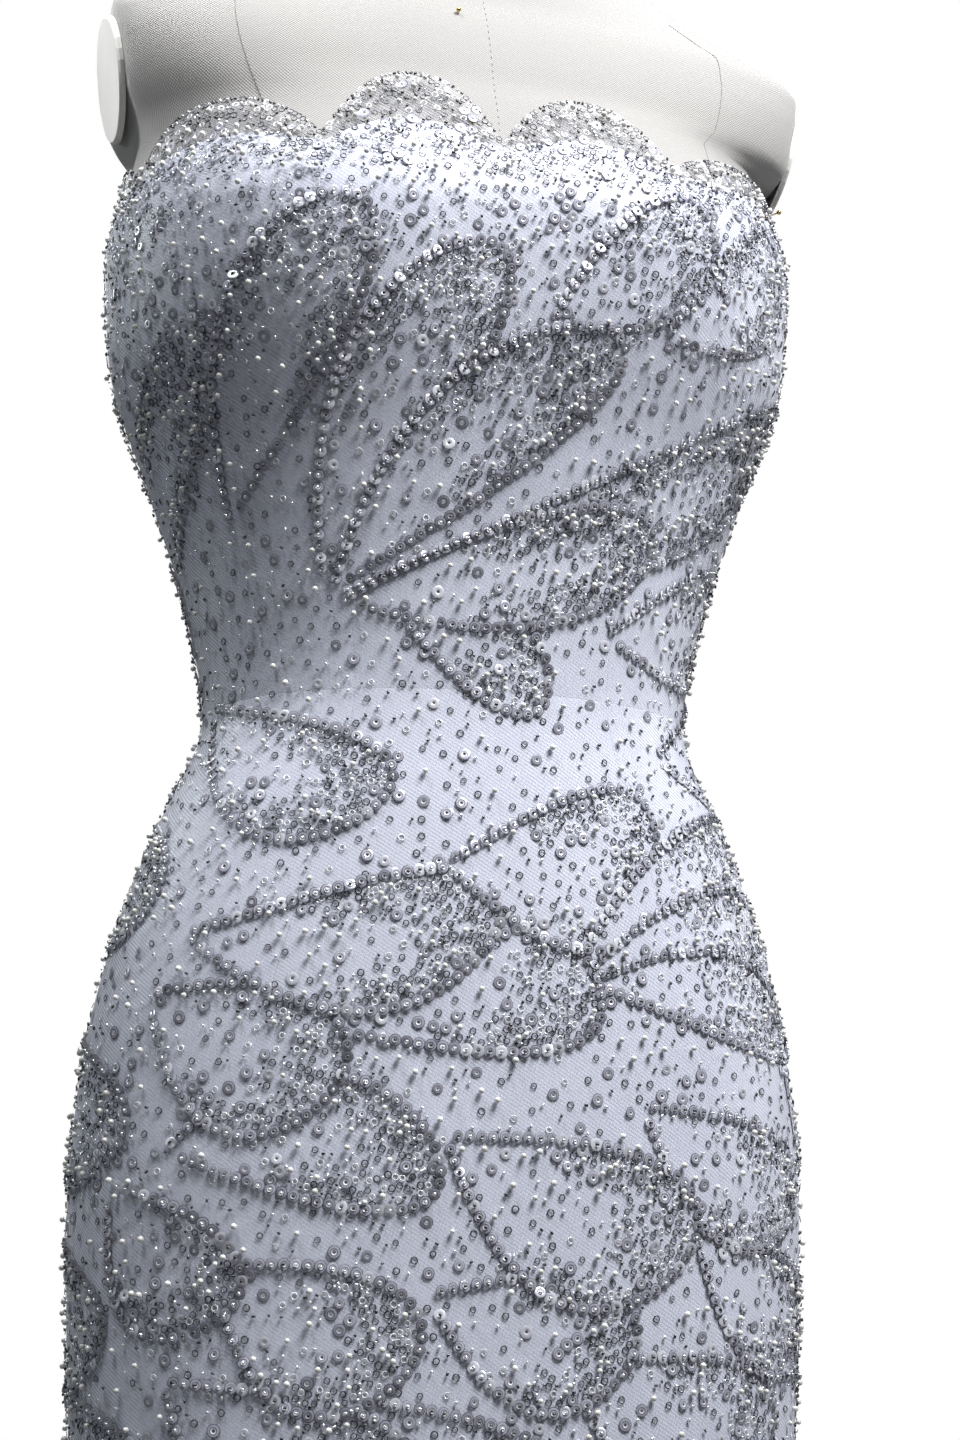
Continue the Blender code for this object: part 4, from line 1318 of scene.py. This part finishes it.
def add_beads():
    """All the beads, as one piece for each kind on each stretch of cloth."""
    rng = np.random.default_rng(SEED + 1)
    beads = set_beads()
    tone = rng.uniform(0, 1, len(beads.share))
    facing = bead_facing(beads, rng)
    lift = beads.lift + np.where(beads.kind == SEED_BEAD, BEADS[SEED_BEAD].outer, 0.0)
    points = CLOTH.at(beads.share, beads.height, lift)
    trees = (ring_bead_tree(), round_bead_tree(), tube_bead_tree())
    tree_of = {SEQUIN: trees[0], RING_BEAD: trees[0], PEARL: trees[1], SEED_BEAD: trees[2]}
    total = 0
    for region, (where, near) in regions(beads.share, beads.height).items():
        for number, bead in enumerate(BEADS):
            pick = where & (beads.kind == number)
            if not pick.any():
                continue
            name = f"{region}_{bead.name}"
            carrier = carrier_of(name, points[pick], facing[pick], beads.size[pick], tone[pick])
            values = {
                "Outer Radius": bead.outer,
                "Crown Radius": bead.crown,
                "Hole Radius": bead.hole,
                "Height": bead.height,
                "Sides": bead.sides if near else bead.far_sides,
                "Rings": BALL_RINGS if near else FAR_BALL_RINGS,
                "Material": FINISHES[bead.name],
            }
            mesh = tree_of[number].apply(carrier, values)
            mesh.name = name
            piece = link_object(name, mesh)
            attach(piece, CLOTH_BODY)
            mesh.calc_loop_triangles()
            total += len(mesh.loop_triangles)
            print("beads", name, int(pick.sum()), "triangles", len(mesh.loop_triangles))
    print("beads in all", len(beads.share), "triangles", total)


# ---------------------------------------------------------------- the dress form and its stand

FORM_COLUMNS = 120
COVERED_ROWS, SHOULDER_ROWS = 50, 40
FIRST_RISE = 0.006  # from the last covered row to the first of the shoulders


def shoulder_sizes(height):
    return [float(column(SHOULDER_RINGS, f, height)) for f in ("half_width", "front", "back", "squareness")]


def form_ring(height):
    """One ring of the form: inside the gown up to the join, then the shoulders and neck, a little tilted."""
    shares = np.linspace(-1, 1, FORM_COLUMNS + 1)

    def at_columns(points):
        return np.stack([np.interp(shares, SHARES, points[:, k]) for k in (0, 1)], axis=1)

    covered, _ = gown_outline(min(height, FORM_JOIN))
    ring = at_columns(covered - (SATIN_WALL + FORM_CLEARANCE) * outward(covered))
    join_top = WAIST + SHOULDER_RINGS[0].from_waist
    blend = clamped((height - FORM_JOIN) / (join_top - FORM_JOIN))
    if blend > 0:
        points = superellipse(*shoulder_sizes(max(height, join_top)))
        (low_z, low_x), (high_z, high_x) = ARM_PLANE_LOW, ARM_PLANE_HIGH
        flat = low_x + (height - WAIST - low_z) * (high_x - low_x) / (high_z - low_z)
        points[:, 0] = np.clip(points[:, 0], -flat, flat)
        ring = ring * (1 - blend) + at_columns(points) * blend
    level, upright = (WAIST + part for part in LEVEL_AGAIN)
    tilt = SHOULDER_TILT * blend * clamped((upright - height) / (upright - level))
    return np.stack([ring[:, 0], ring[:, 1], height - ring[:, 0] * tilt], axis=1)


def add_form():
    """The form's jersey cover, closed under the hips and over the neck."""
    top = WAIST + SHOULDER_RINGS[-1].from_waist
    covered = np.linspace(FORM_BOTTOM, FORM_JOIN, COVERED_ROWS)
    shoulders = np.linspace(FORM_JOIN + FIRST_RISE, top, SHOULDER_ROWS)
    rings = np.stack([form_ring(height) for height in (*covered, *shoulders)])
    rows, columns = rings.shape[:2]
    girth = np.linalg.norm(np.diff(rings[:, : columns // 2 + 1], axis=1), axis=2).sum(axis=1)
    rise = run_along(rings[:, columns // 2])
    across = np.linspace(-1, 1, columns)[None, :] * girth[:, None]
    uvs = np.stack([across, np.repeat(rise[:, None], columns, axis=1)], axis=2).reshape(-1, 2)
    faces = closed_faces(rows, columns)
    piece = add_piece("form_jersey_torso", rings.reshape(-1, 3), faces, FINISHES["jersey"], uvs)
    weld(piece)
    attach(piece, CLOTH_BODY)
    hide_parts("form_torso")


def weld(piece):
    """Merges vertices that coincide where a grid closes on itself."""
    maker = bmesh.new()
    maker.from_mesh(piece.data)
    bmesh.ops.remove_doubles(maker, verts=maker.verts, dist=1e-6)
    maker.to_mesh(piece.data)
    maker.free()


TURNED_SIDES = 96
TURNED_SHARP_ANGLE = math.radians(35)


def add_turned(name, profile, finish, node):
    """A smooth body turned about the Z axis, closed at both ends, in place of a stand's solid."""
    turns = np.linspace(0, 2 * math.pi, TURNED_SIDES + 1)
    grid = np.array([[(r * math.cos(a), r * math.sin(a), z) for a in turns] for r, z in profile])
    faces = closed_faces(*grid.shape[:2])
    piece = add_piece(name, grid.reshape(-1, 3), faces, FINISHES[finish])
    weld(piece)
    piece.data.set_sharp_from_angle(angle=TURNED_SHARP_ANGLE)
    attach(piece, CLOTH_BODY)
    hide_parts(node)


def rounded(corners, radius=0.0012):
    """A profile with each inner corner cut into a small round."""
    points = [np.array(corners[0], float)]
    for before, here, after in zip(corners, corners[1:], corners[2:]):
        before, here, after = (np.array(p, float) for p in (before, here, after))
        back = (before - here) / np.linalg.norm(before - here)
        ahead = (after - here) / np.linalg.norm(after - here)
        reach = min(radius, 0.4 * np.linalg.norm(before - here), 0.4 * np.linalg.norm(after - here))
        for t in (0.0, 0.25, 0.5, 0.75, 1.0):
            points.append(here + back * reach * (1 - t) ** 2 + ahead * reach * t**2)
    points.append(np.array(corners[-1], float))
    return [tuple(p) for p in points]


def add_stand():
    """The neck cap, collar, pole and base, as profiles of radius and height."""
    low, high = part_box("form_neck_cap")
    neck = low[2]
    cap = [(0.046, neck), (0.049, neck + 0.003), (0.048, neck + 0.009), (0.036, neck + 0.016)]
    cap.append((0.018, high[2]))
    add_turned("neck_cap", rounded(cap, 0.004), "paint", "form_neck_cap")
    low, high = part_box("stand_collar")
    collar = rounded([(high[0] - 0.006, low[2]), (high[0], low[2] + 0.004), (high[0], high[2])])
    add_turned("pole_collar", collar, "steel", "stand_collar")
    low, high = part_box("stand_pole")
    add_turned("stand_tube", [(high[0], low[2]), (high[0], high[2])], "steel", "stand_pole")
    low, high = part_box("stand_base")
    rim = [(high[0] - 0.003, 0.0), (high[0], 0.003), (high[0], 0.007), (high[0] - 0.004, 0.010)]
    dome = [(0.060, 0.014), (0.030, 0.020), (0.022, high[2])]
    add_turned("base_plate", rounded(rim + dome, 0.006), "paint", "stand_base")


# A seam of the form: a fine raised line of short stitches, nearly touching along the princess seams.
FormSeam = namedtuple("FormSeam", "name low_share high_share low high pitch length")
FORM_SEAMS = (
    FormSeam("centre_front", 0.0, 0.0, WAIST + 0.20, WAIST + 0.424, 0.0036, 0.0012),
    FormSeam("centre_back", 0.9995, 0.9995, WAIST + 0.20, WAIST + 0.424, 0.0036, 0.0012),
    FormSeam("princess_left", 0.250, 0.262, WAIST + 0.20, WAIST + 0.318, 0.0012, 0.0018),
    FormSeam("princess_right", -0.250, -0.262, WAIST + 0.20, WAIST + 0.318, 0.0012, 0.0018),
)
STITCH_RADIUS = 0.00014
STITCH_LIFT = 0.0001
THREAD_TONE = 0.3
SLOPE_HEIGHT, SLOPE_SHARE = 0.002, 0.01  # the steps that a normal is measured over


def form_place(share, height, lift):
    """A point on the form's cover and its normal, at a share round and a height."""
    shares = np.linspace(-1, 1, FORM_COLUMNS + 1)

    def on(ring, at):
        return np.array([np.interp(min(max(at, -1.0), 1.0), shares, ring[:, k]) for k in range(3)])

    ring = form_ring(height)
    here, over = on(ring, share), on(form_ring(height + SLOPE_HEIGHT), share)
    normal = unit(np.cross(on(ring, share + SLOPE_SHARE) - on(ring, share - SLOPE_SHARE), over - here))
    return here + lift * normal, normal


def add_form_seams():
    """The seams of the form's cover, a piece for each."""
    for seam in FORM_SEAMS:
        heights = np.arange(seam.low, seam.high, seam.pitch)
        shares = np.interp(heights, (seam.low, seam.high), (seam.low_share, seam.high_share))
        places = np.array([form_place(share, h, STITCH_LIFT)[0] for share, h in zip(shares, heights)])
        along = unit(np.gradient(places, axis=0))
        name = f"form_stitches_{seam.name}"
        piece = add_tubes(name, places, along, THREAD_TONE, STITCH_RADIUS, seam.length, "seam_thread")
        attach(piece, CLOTH_BODY)


Pin = namedtuple("Pin", "name share height lean")
PINS = (
    Pin("neck_pin", -0.03, WAIST + 0.299, 0.0),
    Pin("breast_pin", -0.03, WAIST + 0.236, 0.0),
    Pin("side_pin", 0.46, WAIST + 0.2420, 0.9),
)
PIN_HEAD_RADIUS = 0.0011
PIN_SHANK_RADIUS = 0.00035
PIN_SHANK_LENGTH = 0.012
PIN_HEAD_STANDS_OFF = 0.0015
PIN_DEPTH = 0.002
PIN_RISE = 0.45


def in_order(faces):
    """Vertices and faces of a mesh given as faces of points, in an order that is the same each run."""
    turned = []
    for corners in faces:
        first = corners.index(min(corners))
        turned.append(corners[first:] + corners[:first])
    vertices = sorted({corner for corners in turned for corner in corners})
    number = {corner: i for i, corner in enumerate(vertices)}
    return vertices, [[number[corner] for corner in corners] for corners in sorted(turned)]


def add_pins():
    """Brass marking pins in the form: a round head close to the cloth, or a whole pin that leans out."""
    for pin in PINS:
        place, normal = form_place(pin.share, pin.height, 0.0)
        out = (Vector(normal) + Vector((0, 0, PIN_RISE * pin.lean))).normalized()
        shown = PIN_HEAD_STANDS_OFF + pin.lean * PIN_SHANK_LENGTH
        maker = bmesh.new()
        turn = out.to_track_quat("Z", "Y").to_matrix().to_4x4()
        middle = Matrix.Translation(Vector(place) + out * (shown - PIN_DEPTH) / 2)
        bmesh.ops.create_cone(
            maker,
            cap_ends=True,
            segments=10,
            radius1=PIN_SHANK_RADIUS,
            radius2=PIN_SHANK_RADIUS,
            depth=shown + PIN_DEPTH,
            matrix=middle @ turn,
        )
        head = Matrix.Translation(Vector(place) + out * shown) @ turn
        bmesh.ops.create_uvsphere(maker, u_segments=14, v_segments=9, radius=PIN_HEAD_RADIUS, matrix=head)
        faces = [[tuple(corner.co) for corner in face.verts] for face in maker.faces]
        maker.free()
        piece = add_piece(pin.name, *in_order(faces), FINISHES["brass"])
        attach(piece, CLOTH_BODY)


# ---------------------------------------------------------------- the zip

COIL_PITCH = 0.0012
COIL_RADIUS = 0.00052
COIL_WIDTH = 0.0022
COIL_END = 0.0004  # the coil stops this short of its box
COIL_TONE = 0.6
BESIDE_SLOT = 0.998  # share of the way round where the cloth's normal is read for the coil
COIL_DROP = 0.0003  # how far the coil lies under the cloth's surface
TAPE_DROP = 0.0012
TAPE_HALF_WIDTH = 0.0013
TAPE_WALL = 0.0005
TAPE_ROWS = 60


def add_zip():
    """The coil in the centre-back slot: a tape with a row of small cross turns on it."""
    low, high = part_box("zip_chain")
    heights = np.arange(low[2] + COIL_END, high[2] - COIL_END, COIL_PITCH)
    middle = CLOTH.at(np.ones(len(heights)), heights)
    middle[:, 0] = 0.0
    out = CLOTH.normal(np.full(len(heights), BESIDE_SLOT), heights)
    sideways = np.tile([1.0, 0.0, 0.0], (len(heights), 1))
    places = middle - out * COIL_DROP
    coil = add_tubes("zip_coil", places, sideways, COIL_TONE, COIL_RADIUS, COIL_WIDTH, "zip_tape")
    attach(coil, CLOTH_BODY)
    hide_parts("zip_chain")
    rows = np.linspace(low[2], high[2], TAPE_ROWS)
    tape = []
    for x in (-TAPE_HALF_WIDTH, TAPE_HALF_WIDTH):
        line = CLOTH.at(np.ones(len(rows)), rows, -TAPE_DROP)
        line[:, 0], line[:, 2] = x, rows
        tape.append(line)
    outer = np.stack(tape, axis=1)[:, ::-1]
    inner = outer - np.array([0.0, TAPE_WALL, 0.0])
    piece = add_piece("zip_tape", *shell(outer, inner), FINISHES["zip_tape"])
    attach(piece, CLOTH_BODY)
    for node in ("zip_slider", "zip_pull_tab"):
        paint(node, "zip_steel")


def paint(node, finish):
    """Gives a solid that stays in view its finish."""
    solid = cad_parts[node]
    for slot in solid.material_slots:
        slot.material = FINISHES[finish]


# ---------------------------------------------------------------- camera, floor and light

CAMERA_AZIMUTH = math.radians(-12.5)
CAMERA_DISTANCE = 1.20
CAMERA_HEIGHT = WAIST - 0.250
LOOK_HEIGHT = WAIST + 0.005
LOOK_ASIDE = 0.0162  # the gown's axis stands a little left of the frame's middle
CAMERA_ROLL = math.radians(0.35)
LENS = 70.7
FLOOR_SIDE = 30.0
FLOOR_FADES_FROM = 0.7
FLOOR_WHITE_FROM = 2.8
FLOOR_BOUNCE = (0.24, 0.24, 0.24)  # what the floor throws back on the gown, as if dark flags lay round it


def add_camera():
    """The photo's camera: low, close and a little to the gown's right of its front."""
    data = bpy.data.cameras.new("studio_camera")
    data.lens = LENS
    data.sensor_width = 36.0
    data.clip_start = 0.02
    camera = link_object("studio_camera", data)
    sine, cosine = math.sin(CAMERA_AZIMUTH), math.cos(CAMERA_AZIMUTH)
    place = Vector((sine * CAMERA_DISTANCE, -cosine * CAMERA_DISTANCE, CAMERA_HEIGHT))
    target = Vector((cosine * LOOK_ASIDE, sine * LOOK_ASIDE, LOOK_HEIGHT))
    ahead = (target - place).normalized()
    right = ahead.cross(Vector((0, 0, 1))).normalized()
    up = right.cross(ahead)
    rolled_right = right * math.cos(CAMERA_ROLL) + up * math.sin(CAMERA_ROLL)
    rolled_up = up * math.cos(CAMERA_ROLL) - right * math.sin(CAMERA_ROLL)
    turn = Matrix((rolled_right, rolled_up, -ahead)).transposed().to_4x4()
    camera.matrix_world = Matrix.Translation(place) @ turn
    bpy.context.scene.camera = camera


def add_floor():
    """A pale floor, lit near the gown and pure white further out, so that it has no edge."""
    finish = Finish("white_studio_floor", Roughness=0.7, Emission_Strength=1.0)
    tone = finish.noise(1.5, finish.place(), detail=2.0)
    pale = finish.mix(tone, (0.60, 0.60, 0.60), (0.63, 0.63, 0.63))
    away = finish.node("ShaderNodeVectorMath", {"operation": "LENGTH"}, {0: finish.place()}, output=1)
    sockets = {"Value": away, "From Min": FLOOR_FADES_FROM, "From Max": FLOOR_WHITE_FROM}
    fade = finish.node("ShaderNodeMapRange", {"interpolation_type": "SMOOTHSTEP"}, sockets)
    seen = finish.node("ShaderNodeLightPath")
    black, white = (0.0, 0.0, 0.0), (1.0, 1.0, 1.0)
    material = finish.finished(
        Base_Color=finish.mix(seen, FLOOR_BOUNCE, finish.mix(fade, pale, black)),
        Emission_Color=finish.mix(seen * fade, black, white),
    )
    half = FLOOR_SIDE / 2
    corners = [(-half, -half, 0), (half, -half, 0), (half, half, 0), (-half, half, 0)]
    floor = add_piece("studio_floor", corners, [(0, 1, 2, 3)], material)


Lamp = namedtuple("Lamp", "name azimuth elevation distance size power colour")
LAMPS = (
    Lamp("key_upper_right", 33, 53, 1.7, 0.70, 54, (1.0, 0.99, 0.98)),
    Lamp("high_left", -56, 64, 2.0, 0.60, 23, (0.99, 1.0, 1.0)),
    Lamp("rim_right", 98, 16, 2.6, 0.9, 10, (0.96, 0.98, 1.0)),
    Lamp("back_soft", 178, 40, 3.0, 2.0, 52, (1.0, 1.0, 1.0)),
    Lamp("front_glints", 8, 38, 2.4, 0.03, 0.9, (1.0, 1.0, 1.0)),
    Lamp("left_glints", -122, 26, 2.6, 0.22, 7.0, (0.92, 1.0, 0.97)),
    Lamp("low_left_glints", -70, 4, 2.6, 0.04, 1.0, (0.92, 1.0, 0.97)),
)
# A narrow spot that lifts only the form's near shoulder: its size is the lamp's own radius.
SNOOT = Lamp("shoulder_snoot", -60, 50, 1.5, 0.04, 150, (1.0, 0.995, 0.99))
SNOOT_AIM = Vector((-0.128, -0.02, WAIST + 0.315))
SNOOT_CONE = math.radians(6.0)
WORLD_FILL = 0.05
WORLD_TINT = (0.90, 0.97, 1.0)


def place_lamp(lamp, kind, aim):
    """A lamp that shines on a point from its own azimuth, elevation and distance."""
    data = bpy.data.lights.new(lamp.name, kind)
    data.energy = lamp.power
    data.color = lamp.colour
    azimuth, elevation = math.radians(lamp.azimuth), math.radians(lamp.elevation)
    level = math.cos(elevation)
    way = Vector((math.sin(azimuth) * level, -math.cos(azimuth) * level, math.sin(elevation)))
    turn = way.to_track_quat("Z", "Y").to_matrix().to_4x4()
    link_object(lamp.name, data).matrix_world = Matrix.Translation(aim + way * lamp.distance) @ turn
    return data


def add_lamps():
    """The soft boxes round the gown and the one spot."""
    for lamp in LAMPS:
        place_lamp(lamp, "AREA", Vector((0, 0, WAIST))).size = lamp.size
    snoot = place_lamp(SNOOT, "SPOT", SNOOT_AIM)
    snoot.shadow_soft_size = SNOOT.size
    snoot.spot_size = SNOOT_CONE
    snoot.spot_blend = 1.0


def add_world():
    """White behind the gown, and a dimmer, cooler fill on it."""
    world = bpy.data.worlds.new("white_studio")
    world.use_nodes = True
    bpy.context.scene.world = world
    tree = world.node_tree
    fill = tree.nodes["Background"]
    feed(tree, fill, {"Color": WORLD_TINT, "Strength": WORLD_FILL})
    backdrop = add_node(tree, "ShaderNodeBackground", None, {"Color": (1.0, 1.0, 1.0)})
    seen = add_node(tree, "ShaderNodeLightPath").outputs["Is Camera Ray"]
    both = {0: seen, 1: fill.outputs[0], 2: backdrop.outputs[0]}
    mix = add_node(tree, "ShaderNodeMixShader", None, both)
    feed(tree, tree.nodes["World Output"], {"Surface": mix.outputs[0]})
    bpy.context.scene.view_settings.view_transform = "Standard"
    rays = bpy.context.scene.cycles
    rays.max_bounces, rays.diffuse_bounces, rays.glossy_bounces, rays.transparent_max_bounces = 3, 1, 2, 5
    rays.adaptive_threshold = 0.04


add_camera()
add_world()
add_floor()
add_lamps()
add_form()
add_form_seams()
add_pins()
add_stand()
for plate in ("form_arm_plate_left", "form_arm_plate_right"):
    paint(plate, "plate_paint")
add_gown()
add_border("left", 1)
add_border("right", -1)
add_nets()
add_zip()
add_beads()
